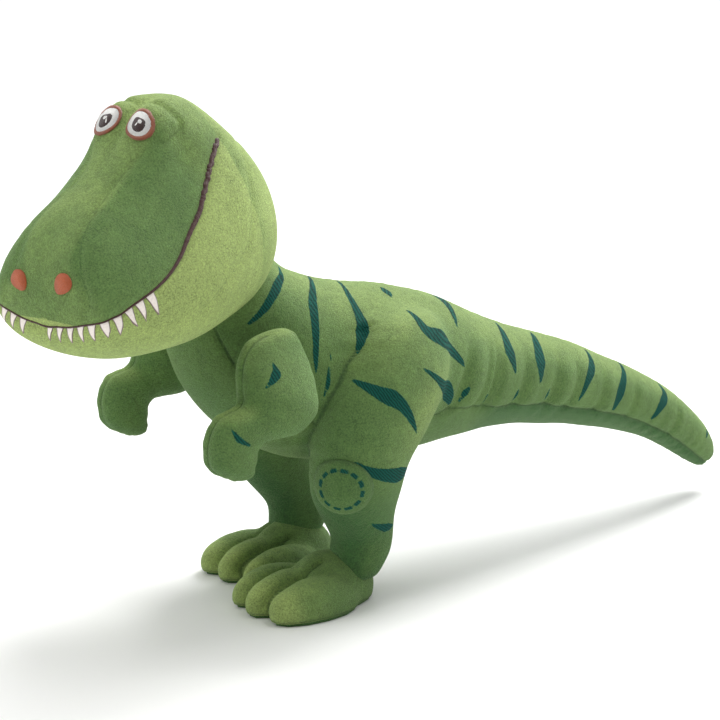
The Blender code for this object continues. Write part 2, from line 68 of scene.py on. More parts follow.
NECK_MIDDLE = np.array([0.0, -120.0, 219.0])
neck_low, neck_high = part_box("neck_filling")
SHIFT = np.array([(a + b) / 2 / MM for a, b in zip(neck_low, neck_high)]) - NECK_MIDDLE

# Head. Places on it are u along it from the muzzle and v round it in degrees. 1 is left and -1 is right.
HEAD_PIVOT = np.array([0.0, -120.0, 220.0])
HEAD_TURN = Euler((0, math.radians(3), math.radians(17)))
HEAD_SHIFT = 3.0
MOUTH_END = 7.2
EYE_U = 5.54
EYE_V = 15.0
EYE_RADIUS = 8.2
PUPIL_RADIUS = 3.5
NOSTRIL_U = 0.97
NOSTRIL_V = {1: 64.0, -1: 52.0}
NOSTRIL_RADIUS = 5.7
TOOTH_COUNT = {1: 10, -1: 8}
TOOTH_FIRST = {1: 2.0, -1: 18.0}
TOOTH_STEP = 7.8
TOOTH_BASE = 5.2
TOOTH_SHORTEST = 7.2
TOOTH_LONGEST = 12.8

# Limbs.
ARM_BACKSET = {1: 0.0, -1: 16.0}
SHOULDER_FLAT = 51.0
LEG_BACKSET = {1: 0.0, -1: 17.0}
LEG_SPREAD = {1: 0.0, -1: 16.0}
ANKLE_END = 20.0
FLOOR = 5.0
SOLE = 2.0
FOOT_PLACE = {1: (24.0, 0.0), -1: (44.0, 28.0)}
TOE_STITCHING = (-11.0, 10.5)
KNEE_U = 5.45
KNEE_V = -55.0
KNEE_RADIUS = 19.0
KNEE_CROWN = 3.4

# Where the tail's panels start, and the stretch over which the skins bend as it sways.
TAIL_START = 107.0
BEND_START = 85.0
BEND_END = 175.0

# How fine the lofts, skins and fillings are.
LOFT_STEP = 3.0
SKIN_STEP = 2.2
FOOT_STEP = 1.8
ARM_STEP = 1.8
HEAD_STEP = 1.9
FILLING_STEP = 2.8

# How far the fillings are tucked in under the skins.
TUCKED = 3.6
TUCKED_HEAD = 5.5
TUCKED_ARM = 8.5

# Distances that stand for no seam and no stripe nearby.
NO_SEAM = 60.0
NO_STRIPE = 50.0

# Trunk sections from neck to tail tip: back y, z, belly y, z, half width.
TRUNK = [
    (-88, 238, -156, 212, 30),
    (-66, 219, -147, 184, 41),
    (-40, 209, -132, 146, 47),
    (-8, 203, -98, 112, 52),
    (26, 198, -48, 92, 58),
    (60, 188, 8, 87, 56),
    (98, 171, 70, 90, 47),
    (146, 155, 122, 90, 39),
    (188, 142, 170, 83, 33),
    (226, 127, 212, 75, 29),
    (260, 112, 248, 66, 25),
    (293, 96, 282, 54, 22),
    (322, 77, 308, 42, 18),
    (343, 60, 331, 29, 14),
    (357, 43, 347, 22, 9),
    (361, 33, 357, 27.5, 2.4),
]

# Head sections from muzzle to nape: upper y, z, lower y, z, half width.
HEAD = [
    (-266, 212, -266, 210, 2),
    (-265, 234, -262, 197, 34),
    (-260, 253, -250, 189, 43),
    (-248, 268, -230, 184, 49),
    (-230, 284, -205, 182, 54),
    (-210, 303, -180, 181, 57),
    (-192, 318, -156, 182, 57),
    (-168, 327, -134, 186, 55),
    (-142, 321, -116, 193, 50),
    (-119, 304, -102, 205, 41),
    (-102, 281, -94, 226, 27),
    (-94, 256, -92, 248, 3),
]
HEAD_TAPER = [0.0, 0.1, 0.18, 0.26, 0.32, 0.36, 0.36, 0.3, 0.2, 0.1, 0.0, 0.0]

# Arm sections from shoulder to fingertips: x, front y, z, back y, z, half thickness.
ARM = [
    (62, -114, 192, -106, 192, 2),
    (63, -132, 187, -98, 187, 12),
    (65, -143, 176, -94, 172, 17),
    (67, -147, 162, -93, 155, 19),
    (69, -147, 154, -95, 140, 19),
    (70, -152, 151, -112, 130, 17),
    (70, -164, 147, -130, 130, 15),
    (69, -171, 134, -137, 126, 14),
    (68, -169, 118, -138, 116, 13),
    (67, -156, 109, -139, 109, 8),
    (67, -149, 108, -143, 108, 2),
]

# Leg sections from hip to ankle: z, x, y, half width, half depth.
LEG = [
    (190, 38, -2, 4, 6),
    (182, 40, -4, 20, 32),
    (162, 43, -12, 29, 44),
    (140, 46, -21, 32, 46),
    (116, 48, -33, 31, 41),
    (96, 47, -40, 29, 33),
    (78, 45, -41, 25, 30),
    (62, 41, -36, 21, 25),
    (46, 37, -29, 18, 21),
    (34, 35, -28, 19, 22),
]

# Foot lobes: x, y of the middle, half width, half length, height.
LOBES = [
    (-21, -75, 13, 31, 23),
    (0, -79, 14, 32, 25),
    (22, -75, 16, 34, 24),
    (4, -49, 24, 32, 33),
]

# The mouth line from the middle of the muzzle to its left corner, as u, v on the head.
MOUTH = [(0.30, -90), (0.33, -52), (0.6, -22), (0.9, -11), (1.4, -8), (1.95, -7), (2.52, -2), (3.42, 3),
         (4.17, 9), (4.81, 16), (5.51, 21), (6.23, 29), (6.89, 38), (7.25, 43)]

# Other seams of the head: muzzle seam, temple dart and the topstitching behind the jaw.
MUZZLE_SEAM = [(0.75, 3), (1.1, 32), (1.47, 49), (2.3, 60), (3.07, 65), (3.86, 68), (4.48, 67), (5.1, 62)]
TEMPLE_DART = [(6.26, 84), (6.28, 69), (6.34, 57), (5.9, 55), (5.49, 59)]
JAW_SEAM = [(8.4, 55), (7.68, 27), (7.25, 11), (6.76, -1), (6.3, -8), (5.27, -16), (4.5, -24)]

# Stripes: places on the trunk (t), leg (l) or arm (a), full width, and where along it a stripe is widest.
BODY_STRIPES = [
    ([("t", 0.6, 66), ("t", 0.75, 45), ("t", 0.8, 28), ("t", 1.03, -4), ("t", 1.15, -26)], 6.5, 0.55),
    ([("t", 1.75, 84), ("t", 1.63, 40), ("t", 1.93, 20), ("t", 2.33, 1), ("t", 2.62, -12)], 8.0, 0.35),
    ([("t", 2.6, 92), ("t", 2.5, 58), ("t", 2.8, 34), ("t", 2.9, 24), ("t", 3.0, 10)], 9.5, 0.7),
    ([("t", 2.5, 9), ("t", 2.73, -5), ("t", 2.88, -13), ("t", 3.0, -24)], 3.4, 0.6),
    ([("t", 3.45, 76), ("t", 3.51, 60)], 7.0, 0.5),
    ([("t", 4.78, 84), ("t", 4.93, 72), ("t", 4.88, 40)], 10.0, 0.45),
    ([("t", 3.63, 45), ("l", 1.25, 14), ("l", 1.85, 60), ("t", 5.16, 12)], 13.0, 0.55),
    ([("l", 2.2, 2), ("l", 2.9, 42), ("t", 4.8, -3), ("t", 5.15, -16)], 13.0, 0.7),
    ([("t", 6.22, 72), ("t", 6.14, 49), ("t", 6.12, 27), ("t", 6.22, 8)], 11.5, 0.65),
    ([("t", 6.96, 72), ("t", 6.84, 47), ("t", 6.79, 21), ("t", 6.81, -2)], 11.5, 0.6),
    ([("t", 8.29, 72), ("t", 8.19, 35), ("t", 7.99, 7), ("t", 7.89, -23)], 8.5, 0.45),
    ([("t", 9.42, 78), ("t", 9.14, 26), ("t", 8.99, -5), ("t", 8.99, -30)], 10.0, 0.55),
    ([("t", 10.6, 70), ("t", 10.67, 34), ("t", 10.44, 2), ("t", 10.27, -30)], 9.0, 0.5),
    ([("t", 13.1, 50), ("t", 13.0, 30), ("t", 12.85, 5)], 4.5, 0.5),
    ([("t", 5.3, 0), ("t", 5.2, -14)], 4.5, 0.4),
    ([("t", 5.81, -5), ("t", 5.76, -22)], 5.5, 0.4),
    ([("t", 6.44, -5), ("t", 6.40, -25)], 5.5, 0.4),
    ([("t", 7.16, -6), ("t", 7.15, -28)], 5.5, 0.4),
    ([("l", 2.38, -64), ("l", 2.73, -35), ("l", 3.1, -12), ("l", 3.95, 20)], 11.0, 0.5),
    ([("l", 4.5, -46), ("l", 4.9, -22), ("l", 5.15, 14), ("l", 5.2, 60)], 11.0, 0.7),
    ([("l", 7.06, -17), ("l", 7.4, 10), ("l", 7.5, 45)], 6.5, 0.6),
]
ARM_STRIPES = [
    ([("a", 1.7, 26), ("a", 2.2, 22), ("a", 2.85, 42)], 6.0, 0.5),
    ([("a", 6.2, 48), ("a", 6.6, 20), ("a", 6.8, -14)], 3.6, 0.5),
]

# Soft folds across the tail above its gusset: where along the trunk, how deep, how broad.
TAIL_FOLDS = [
    (5.16, 2.72, 4), (5.62, 1.19, 2), (5.83, 2.38, 4), (6.49, 2.21, 4), (7.24, 2.04, 4.5), (7.75, 1.36, 4),
    (8.5, 1.36, 4), (9.55, 1.19, 4), (11.2, 1.19, 4),
]

# Where the filling pushes the head's skin out and a hollow or a dart draws it in: how far, then the middle
# and reach along the head, then the middle and reach round it, in degrees up from its side.
HEAD_RELIEF = [
    (4.5, 5.95, 0.75, 68, 17),
    (-2.6, 5.7, 0.9, 90, 6),
    (-3.0, 4.35, 0.9, 85, 30),
    (3.0, 2.4, 1.1, 60, 28),
    (-2.6, 5.9, 0.5, 42, 9),
    (-4.0, 8.5, 0.9, 72, 26),
    (1.5, 2.9, 1.4, 20, 20),
]


def curve_through(rows, t):
    """Rows read at places t along them, on a smooth curve through all of them."""
    rows = np.asarray(rows, float)
    if rows.ndim == 1:
        rows = rows[:, None]
    ends = np.vstack([2 * rows[0] - rows[1], rows, 2 * rows[-1] - rows[-2]])
    t = np.clip(np.asarray(t, float), 0, len(rows) - 1)
    i = np.minimum(t.astype(int), len(rows) - 2)
    f = (t - i)[..., None]
    a, b, c, d = (ends[i + k] for k in range(4))
    bend = (2 * a - 5 * b + 4 * c - d) * f**2 + (3 * b - a - 3 * c + d) * f**3
    return 0.5 * (2 * b + (c - a) * f + bend)


def unit(vectors):
    return vectors / np.maximum(np.linalg.norm(vectors, axis=-1, keepdims=True), 1e-9)


def rise(x, low, high):
    """0 below low, 1 above high and smooth between."""
    t = np.clip((x - low) / (high - low), 0, 1)
    return t * t * (3 - 2 * t)


class Form:
    """A soft shape lofted through sections.

    u runs along it, and v is the angle round it from +X, in degrees.
    """

    def __init__(self, rows, side=1, taper=None, bump=None):
        self.rows = np.asarray(rows, float)
        self.side = side
        self.taper = taper
        self.bump = bump
        self.last = len(rows) - 1

    def section(self, u, v):
        """The point on the plain section, before any bump."""
        angle = np.radians(v)
        c, s = np.cos(angle), np.sin(angle)
        x, yt, zt, yb, zb, wide = np.moveaxis(curve_through(self.rows, u), -1, 0)
        narrow = curve_through(self.taper, u)[..., 0] * s if self.taper else 0.0
        across = x + wide * c * (1 - narrow)
        return np.stack([self.side * across, (yt + yb) / 2 + (yt - yb) / 2 * s,
                         (zt + zb) / 2 + (zt - zb) / 2 * s], -1)

    def normal(self, u, v):
        u, v = np.broadcast_arrays(np.asarray(u, float), np.asarray(v, float))
        along = self.section(np.minimum(u + 0.03, self.last), v) - self.section(np.maximum(u - 0.03, 0), v)
        round_it = self.section(u, v + 1.0) - self.section(u, v - 1.0)
        out = unit(np.cross(along, round_it))
        x, yt, zt, yb, zb, _ = np.moveaxis(curve_through(self.rows, u), -1, 0)
        middle = np.stack([self.side * x, (yt + yb) / 2, (zt + zb) / 2], -1)
        facing = np.sum(out * (self.section(u, v) - middle), -1, keepdims=True)
        return np.where(facing > 0, out, -out)

    def at(self, u, v, lift=0.0):
        u, v = np.broadcast_arrays(np.asarray(u, float), np.asarray(v, float))
        raised = lift + (self.bump(u, v) if self.bump else 0.0)
        return self.section(u, v) + self.normal(u, v) * np.asarray(raised)[..., None]


def arm_form(side):
    shift = ARM_BACKSET[side]
    return Form([(x, yf + shift, zf, yb + shift, zb, w) for x, yf, zf, yb, zb, w in ARM], side=side)


def pair_rows(rows):
    return [row if len(row) == 6 else (0, *row) for row in rows]


def leg_rows(side):
    """The leg's level sections, written as the upper and lower rows that Form reads."""
    rows = []
    for z, x, y, wide, deep in LEG:
        lower = min(max((150 - z) / 100, 0.0), 1.0)
        y += LEG_BACKSET[side] * lower
        rows.append((x + LEG_SPREAD[side] * lower, y + deep, z, y - deep, z, wide))
    x, heel, z, instep, _, wide = rows[-1]
    rows[-1] = (x, heel - 4, z, instep, z, wide)
    rows.append((x + 1, heel - 15, ANKLE_END, instep, ANKLE_END, wide - 3))
    return rows


def brow_bump(u, v):
    total = 0.0
    for centre in (72, 108):
        near = ((u - 5.9) / 0.9) ** 2 + (np.radians(v - centre) / 0.30) ** 2
        total = total + 4.0 * np.exp(-near)
    return total


trunk_form = Form(pair_rows(TRUNK))
head_form = Form([(0, yt + HEAD_SHIFT, zt, yb + HEAD_SHIFT, zb, w) for yt, zt, yb, zb, w in HEAD],
                 taper=HEAD_TAPER, bump=brow_bump)


def grid_faces(rows, columns):
    """Quads of a net that closes round, with a cap at each end."""
    i, j = np.meshgrid(np.arange(rows - 1), np.arange(columns), indexing="ij")
    k = (j + 1) % columns
    quads = np.stack([i * columns + j, i * columns + k, (i + 1) * columns + k, (i + 1) * columns + j], -1)
    faces = [tuple(int(n) for n in quad) for quad in quads.reshape(-1, 4)]
    faces.append(tuple(reversed(range(columns))))
    faces.append(tuple((rows - 1) * columns + n for n in range(columns)))
    return faces


def loft(form, first, last, step):
    """Points and faces of a form, about step apart."""
    u = np.linspace(first, last, 400)
    spine = form.section(u, 90.0 + 0 * u)
    length = np.concatenate([[0], np.cumsum(np.linalg.norm(np.diff(spine, axis=0), axis=1))])
    rows = max(int(length[-1] / step), 12)
    stations = np.interp(np.linspace(0, length[-1], rows), length, u)
    columns = max(int(2 * math.pi * np.max(form.rows[:, 5]) * 1.25 / step), 24)
    angles = np.arange(columns) * 360 / columns
    uu, vv = np.meshgrid(stations, angles, indexing="ij")
    return form.at(uu, vv).reshape(-1, 3), grid_faces(rows, columns), uu.ravel(), vv.ravel()


def mesh_of(name, points, faces):
    mesh = bpy.data.meshes.new(name)
    mesh.from_pydata([tuple(p) for p in (np.asarray(points) * MM)], [], faces)
    mesh.validate()
    return mesh


def points_of(mesh):
    flat = np.empty(len(mesh.vertices) * 3, np.float32)
    mesh.vertices.foreach_get("co", flat)
    return flat.reshape(-1, 3).astype(float) / MM


def set_points(mesh, points):
    mesh.vertices.foreach_set("co", (np.asarray(points) * MM).astype(np.float32).ravel())
    mesh.update()


def normals_of(mesh):
    flat = np.empty(len(mesh.vertices) * 3, np.float32)
    mesh.vertex_normals.foreach_get("vector", flat)
    return flat.reshape(-1, 3).astype(float)


def welded(name, parts, step):
    """One skin over several overlapping closed shapes, as a fresh even mesh."""
    points, faces = [], []
    start = 0
    for part_points, part_faces in parts:
        points.append(part_points)
        faces += [tuple(n + start for n in face) for face in part_faces]
        start += len(part_points)
    shape = bpy.data.objects.new(name + "_shape", mesh_of(name, np.vstack(points), faces))
    bpy.context.scene.collection.objects.link(shape)
    remesh = shape.modifiers.new("even", "REMESH")
    remesh.mode = "VOXEL"
    remesh.voxel_size = step * MM
    bpy.context.view_layer.update()
    even = bpy.data.meshes.new_from_object(shape.evaluated_get(bpy.context.evaluated_depsgraph_get()))
    bpy.data.objects.remove(shape, do_unlink=True)
    return even


def relax(mesh, rounds, weight=None):
    """Moves each point toward the middle of its neighbours; weight says how far, point by point."""
    points = points_of(mesh)
    edges = np.empty(len(mesh.edges) * 2, np.int32)
    mesh.edges.foreach_get("vertices", edges)
    a, b = edges.reshape(-1, 2).T
    count = np.bincount(np.concatenate([a, b]), minlength=len(points))[:, None]
    share = np.full(len(points), 0.5) if weight is None else weight(points)
    for _ in range(rounds):
        total = np.zeros_like(points)
        for axis in range(3):
            total[:, axis] = (np.bincount(a, points[b, axis], len(points))
                              + np.bincount(b, points[a, axis], len(points)))
        points += (total / np.maximum(count, 1) - points) * share[:, None]
    set_points(mesh, points)


def field(mesh, name, values):
    made = mesh.attributes.get(name) or mesh.attributes.new(name, "FLOAT", "POINT")
    made.data.foreach_set("value", np.asarray(values, np.float32))


def read_field(mesh, name):
    values = np.empty(len(mesh.vertices), np.float32)
    mesh.attributes[name].data.foreach_get("value", values)
    return values.astype(float)


def tree_of(mesh):
    faces = [tuple(p.vertices) for p in mesh.polygons]
    return BVHTree.FromPolygons([Vector(p) for p in points_of(mesh)], faces)


def laid_on(tree, points, count):
    """A smooth line through the points, pressed onto the skin."""
    line = curve_through(points, np.linspace(0, len(points) - 1, count))
    return np.array([tree.find_nearest(Vector(p))[0] for p in line])


def line_distance(points, normals, line):
    """Each point's distance from the line along the skin, and the nearest place on the line, 0 to 1."""
    best = np.full(len(points), 1e3)
    along = np.zeros(len(points))
    near = np.min(np.linalg.norm(points[:, None] - line[None, ::3], axis=2), axis=1) < 45
    chosen = np.where(near)[0]
    p, n = points[chosen], normals[chosen]
    found = np.full(len(chosen), 1e3)
    place = np.zeros(len(chosen))
    for k in range(len(line) - 1):
        step = line[k + 1] - line[k]
        t = np.clip(((p - line[k]) @ step) / max(step @ step, 1e-9), 0, 1)
        gap = p - (line[k] + t[:, None] * step)
        depth = np.sum(gap * n, 1)
        flat = np.sqrt(np.maximum(np.sum(gap**2, 1) - depth**2, 0)) + np.maximum(np.abs(depth) - 6, 0)
        closer = flat < found
        found = np.where(closer, flat, found)
        place = np.where(closer, (k + t) / (len(line) - 1), place)
    best[chosen] = found
    along[chosen] = place
    return best, along


def stripe_field(mesh, stripes, side, tree):
    """Signed distance to the nearest stripe's edge on one side of the toy, below zero inside."""
    points, normals = points_of(mesh), normals_of(mesh)
    forms = {"t": Form(trunk_form.rows, side=side), "l": Form(leg_rows(side), side=side), "a": arm_form(side)}
    edge = np.full(len(points), NO_STRIPE)
    for places, width, widest in stripes:
        line = np.array([forms[key].at(u, v) for key, u, v in places])
        gap, t = line_distance(points, normals, laid_on(tree, line, 22))
        swell = np.minimum(t / widest, (1 - t) / (1 - widest))
        edge = np.minimum(edge, gap - 0.5 * width * np.clip(swell, 0, 1) ** 0.7)
    return edge


def waves(x, seed, longest, shortest):
    """A gentle uneven ripple along x."""
    rng = np.random.default_rng(seed)
    total = 0.0
    for _ in range(5):
        length = rng.uniform(shortest, longest)
        total = total + np.sin(2 * math.pi * x / length + rng.uniform(0, 6.3))
    return total / 5


def length_of(line):
    return np.sum(np.linalg.norm(np.diff(line, axis=0), axis=1))


def drawn_in(gap, deep, reach):
    """How deep a line of stitching draws in the skin at this distance from it."""
    return deep * np.exp(-(gap / reach) ** 2)


def up_from_side(v):
    """The angle above or below the nearer side, for an angle counted from the left."""
    return np.where(v > 90, 180 - v, v)


def trunk_uv(points):
    """u along the trunk and v round it for points near its skin, and 1 on the skin, less inside it."""
    stations = np.linspace(0, trunk_form.last, 240)
    _, yt, zt, yb, zb, wide = curve_through(trunk_form.rows, stations).T
    my, mz = (yt + yb) / 2, (zt + zb) / 2
    dy, dz = (yt - yb) / 2, (zt - zb) / 2
    half = np.hypot(dy, dz)
    ry, rz = points[:, 1, None] - my, points[:, 2, None] - mz
    off = (ry * dz - rz * dy) / half
    s = (ry * dy + rz * dz) / half**2
    cross = (off[:, :-1] * off[:, 1:] <= 0) & (np.abs(s[:, :-1]) < 1.7)
    size = np.where(cross, np.abs(s[:, :-1]), 9.0)
    k = np.argmin(size, 1)
    missed = ~cross.any(1)
    k = np.where(missed, np.argmin(np.abs(off[:, :-1]), 1), k)
    rows = np.arange(len(points))
    a, b = off[rows, k], off[rows, k + 1]
    f = np.where(missed, 0.5, a / np.where(np.abs(a - b) < 1e-9, 1, a - b))
    u = stations[k] + f * (stations[1] - stations[0])
    sine = s[rows, k] + f * (s[rows, k + 1] - s[rows, k])
    cosine = points[:, 0] / wide[k]
    return u, np.degrees(np.arctan2(sine, cosine)), np.hypot(sine, cosine)


def leg_ratio(points, side):
    """1 on the leg's skin, less inside, more outside."""
    rows = np.array(leg_rows(side))
    z = np.clip(points[:, 2], rows[-1, 2], rows[0, 2])
    order = np.argsort(rows[:, 2])
    x, yf, yb, wide = (np.interp(z, rows[order, 2], rows[order, c]) for c in (0, 1, 3, 5))
    return np.hypot((points[:, 0] * side - x) / wide, (points[:, 1] - (yf + yb) / 2) / ((yf - yb) / 2))


class Value:
    """A number, colour or vector that runs through a finish's nodes."""

    def __init__(self, finish, socket):
        self.finish = finish
        self.socket = socket

    def __add__(self, other):
        return self.finish.maths("ADD", self, other)

    def __radd__(self, other):
        return self.finish.maths("ADD", other, self)

    def __sub__(self, other):
        return self.finish.maths("SUBTRACT", self, other)

    def __rsub__(self, other):
        return self.finish.maths("SUBTRACT", other, self)

    def __mul__(self, other):
        return self.finish.maths("MULTIPLY", self, other)


class Finish:
    """A procedural material for one cloth or thread."""

    def __init__(self, name, roughness=0.9):
        self.material = bpy.data.materials.new(name)
        self.material.use_nodes = True
        self.tree = self.material.node_tree
        self.shader = self.tree.nodes["Principled BSDF"]
        self.shader.inputs["Roughness"].default_value = roughness
        self.place = self.node("ShaderNodeTexCoord", {}, {}, "Object")

    def node(self, kind, settings, sockets, out=0):
        """One node: its settings first, then its sockets by name or number, and the output asked for."""
        made = self.tree.nodes.new(kind)
        for key, value in settings.items():
            setattr(made, key, value)
        for key, value in sockets.items():
            if isinstance(value, Value):
                self.tree.links.new(value.socket, made.inputs[key])
            else:
                made.inputs[key].default_value = value
        return Value(self, made.outputs[out])

    def maths(self, operation, a, b=0.0):
        return self.node("ShaderNodeMath", {"operation": operation}, {0: a, 1: b})

    def clamp(self, value, low=0.0, high=1.0):
        return self.node("ShaderNodeMapRange", {"interpolation_type": "SMOOTHSTEP"},
                         {0: value, 1: low, 2: high, 3: 0.0, 4: 1.0})

    def mix(self, share, a, b):
        a, b = ((*c, 1) if isinstance(c, tuple) and len(c) == 3 else c for c in (a, b))
        return self.node("ShaderNodeMix", {"data_type": "RGBA"}, {0: share, 6: a, 7: b}, 2)

    def shade(self, colour, factor):
        return self.node("ShaderNodeVectorMath", {"operation": "SCALE"}, {0: colour, 3: factor})

    def noise(self, per_metre, detail=2.0, rough=0.5, twist=0.0):
        return self.node("ShaderNodeTexNoise", {}, {"Vector": self.place, "Scale": per_metre,
                                                    "Detail": detail, "Roughness": rough,
                                                    "Distortion": twist})

    def threads(self, per_metre, twist, unevenness):
        """Fine parallel threads, as in satin stitch."""
        return self.node("ShaderNodeTexWave", {"bands_direction": "DIAGONAL"},
                         {"Vector": self.place, "Scale": per_metre, "Distortion": twist, "Detail": 2.0,
                          "Detail Scale": unevenness})

    def field(self, name):
        return self.node("ShaderNodeAttribute", {"attribute_name": name}, {}, "Fac")

    def feed(self, socket, value):
        self.tree.links.new(value.socket, self.shader.inputs[socket])

    def bump(self, height):
        normal = self.node("ShaderNodeBump", {}, {"Height": height, "Distance": MM})
        self.feed("Normal", normal)
        return normal

    def overlay(self, share, other):
        """Shows another shader in place of the cloth's own where share is one."""
        own = Value(self, self.shader.outputs[0])
        mixed = self.node("ShaderNodeMixShader", {}, {0: share, 1: own, 2: other})
        self.tree.links.new(mixed.socket, self.tree.nodes["Material Output"].inputs["Surface"])

    def sheen(self, weight, roughness, tint):
        self.shader.inputs["Sheen Weight"].default_value = weight
        self.shader.inputs["Sheen Roughness"].default_value = roughness
        self.shader.inputs["Sheen Tint"].default_value = (*tint, 1)


GREEN = (0.100, 0.200, 0.048)
PALE = (0.365, 0.475, 0.140)
DEEP = (0.034, 0.118, 0.026)
TEAL = (0.003, 0.068, 0.050)
# Dark green painted into the seam grooves as their shade.
SEAM_SHADE = (0.030, 0.070, 0.020)


def velour(name):
    """Short pile, clouded where it has been stroked and with painted shade in the seams, with stripes of teal
    satin.
    """
    cloth = Finish(name, 0.85)
    cloud = cloth.noise(45, 3.0, 0.55, 0.6)
    mottle = cloth.noise(190, 4.0, 0.62, 0.8)
    pile = cloth.noise(1000, 3.0, 0.8)
    light = cloth.field("light")
    dark = cloth.field("dark")
    seam = cloth.field("seam")
    stripe = cloth.field("stripe")
    # The light field mixes toward PALE and the dark field toward DEEP: both carry painted light and shade
    # besides the cloth's paler jaw and belly and deeper gusset.
    base = cloth.mix(cloth.clamp(light + (cloud - 0.5) * 0.3, 0.0, 1.0), GREEN, PALE)
    base = cloth.mix(cloth.clamp(dark + (cloud - 0.5) * 0.25), base, DEEP)
    nap = 1.0 + (mottle - 0.5) * 0.65 + (pile - 0.5) * 2.4 + (cloud - 0.5) * 0.3
    base = cloth.shade(base, nap)
    wobble = (mottle - 0.5) * 1.2 + (pile - 0.5) * 0.6
    sewn = cloth.clamp(stripe + wobble, 0.35, -0.35)
    # Painted shade: the skin darkens toward a dark green in the seam grooves, which the bump also draws in.
    groove = 1.0 - cloth.clamp(seam, 0.0, 1.6)
    base = cloth.mix(groove * 0.75, base, SEAM_SHADE)
    cloth.feed("Base Color", base)
    lie = cloth.threads(260.0, 3.0, 1.5)
    normal = cloth.bump(pile * 1.3 + mottle * 1.0 + sewn * 0.35 - groove * 0.9)
    satin = cloth.node("ShaderNodeBsdfPrincipled", {}, {"Base Color": cloth.shade(TEAL, 0.55 + lie * 1.1),
                                                        "Roughness": 0.8, "Specular IOR Level": 0.15,
                                                        "Normal": normal})
    cloth.overlay(sewn, satin)
    cloth.sheen(0.34, 0.30, (0.66, 0.95, 0.42))
    return cloth.material


def thread(name, colour, per_metre=900, shine=0.55):
    """Satin stitch: fine parallel threads with a soft shine."""
    cloth = Finish(name, shine)
    lie = cloth.threads(per_metre, 1.5, 2.0)
    grain = cloth.noise(700, 3.0, 0.6)
    cloth.feed("Base Color", cloth.shade(colour, 0.72 + lie * 0.3 + grain * 0.3))
    cloth.bump(lie * 0.25 + grain * 0.2)
    cloth.sheen(0.15, 0.4, (1, 1, 1))
    return cloth.material


def felt(name, colour):
    cloth = Finish(name, 0.95)
    fluff = cloth.noise(900, 4.0, 0.7)
    edge = cloth.clamp(cloth.field("edge"), 0.75, 0.25)
    base = cloth.shade(colour, 0.8 + fluff * 0.4)
    cloth.feed("Base Color", cloth.mix(edge * 0.85, base, (0.11, 0.045, 0.03)))
    cloth.bump(fluff * 0.5 - edge * 0.4)
    cloth.sheen(0.3, 0.5, (1, 1, 1))
    return cloth.material


def fibre(name, colour, per_metre):
    cloth = Finish(name, 0.95)
    fluff = cloth.noise(per_metre, 5.0, 0.75, 1.0)
    cloth.feed("Base Color", cloth.shade(colour, 0.7 + fluff * 0.6))
    cloth.bump(fluff * 2.0)
    return cloth.material


VELOUR = velour("velour_pile")
ORANGE = thread("orange_satin_thread", (0.56, 0.115, 0.028))
RING = thread("brown_satin_thread", (0.30, 0.085, 0.035))
WHITE = thread("white_satin_thread", (0.95, 0.95, 0.92))
DARK = thread("dark_satin_thread", (0.035, 0.010, 0.008), 700, 0.45)
MOUTH_THREAD = thread("mouth_satin_thread", (0.060, 0.016, 0.013), 700, 0.6)
FELT = felt("white_felt", (0.94, 0.86, 0.80))
FIBRE = fibre("polyester_fibre", (0.80, 0.80, 0.78), 260)
POUCH = fibre("pellet_pouch_cloth", (0.60, 0.58, 0.52), 600)


def finished(name, mesh, finish, body=None):
    """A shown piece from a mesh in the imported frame, smooth shaded, riding on a body if one is given."""
    mesh.name = name
    mesh.materials.clear()
    mesh.materials.append(finish)
    mesh.shade_smooth()
    piece = bpy.data.objects.new(name, mesh)
    bpy.context.scene.collection.objects.link(piece)
    if body:
        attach(piece, body)
    return piece


def carried(mesh):
    """Takes a mesh from the maker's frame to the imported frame."""
    set_points(mesh, points_of(mesh) + SHIFT)


FIELDS = ("light", "dark", "seam", "stripe")


def split(mesh, zone_of_face, names):
    """Cuts a skin into its sewn panels. Each keeps the whole skin's shading across the seams."""
    normals = normals_of(mesh)
    points = points_of(mesh)
    faces = [tuple(p.vertices) for p in mesh.polygons]
    kept = {a.name: read_field(mesh, a.name) for a in mesh.attributes if a.name in FIELDS}
    out = {}
    for index, name in enumerate(names):
        own = [face for face, zone in zip(faces, zone_of_face) if zone == index]
        used = sorted({n for face in own for n in face})
        if not used:
            continue
        number = {n: i for i, n in enumerate(used)}
        panel = mesh_of(name, points[used], [tuple(number[n] for n in face) for face in own])
        for key, values in kept.items():
            field(panel, key, values[used])
        panel.shade_smooth()
        panel.normals_split_custom_set_from_vertices([tuple(n) for n in normals[used]])
        out[name] = panel
    return out


def push(mesh, amount):
    """Moves each point along its normal."""
    set_points(mesh, points_of(mesh) + normals_of(mesh) * np.asarray(amount)[:, None])


def belly_seam(u):
    """The angle at which the belly panel, and further back the tail's gusset, meets the left side."""
    return np.interp(u, [1, 4, 5.2, 6.2, 7.7, 9.1, 10.6, 12.4, 15],
                     [-46, -34, -17, -24, -30, -32, -39, -46, -46])


# The trunk's seams: the angle each runs at, where it ends, and how strongly it draws in the skin.
TRUNK_SEAMS = [
    (lambda u: 90 + 0 * u, 14.6, 0.3),
    (belly_seam, 14.8, 1.0),
    (lambda u: 180 - belly_seam(u), 14.8, 1.0),
]


def body_shape():
    """Trunk, tail and legs welded into one skin and softened, most of all round the hips."""
    parts = [loft(trunk_form, 0.35, trunk_form.last, LOFT_STEP)[:2]]
    for side in (1, -1):
        parts.append(loft(Form(leg_rows(side), side=side), 0, len(LEG), LOFT_STEP)[:2])
    skin = welded("body_skin", parts, SKIN_STEP)

    def hip_softness(points):
        high = rise(points[:, 2], 95, 165)
        behind = rise(points[:, 1], -45, 10)
        near = rise(points[:, 1], 95, 60)
        return 0.12 + 0.8 * np.minimum(high * behind + 0.6 * behind * rise(points[:, 2], 60, 100), 1) * near

    relax(skin, 5)
    relax(skin, 26, hip_softness)
    return skin


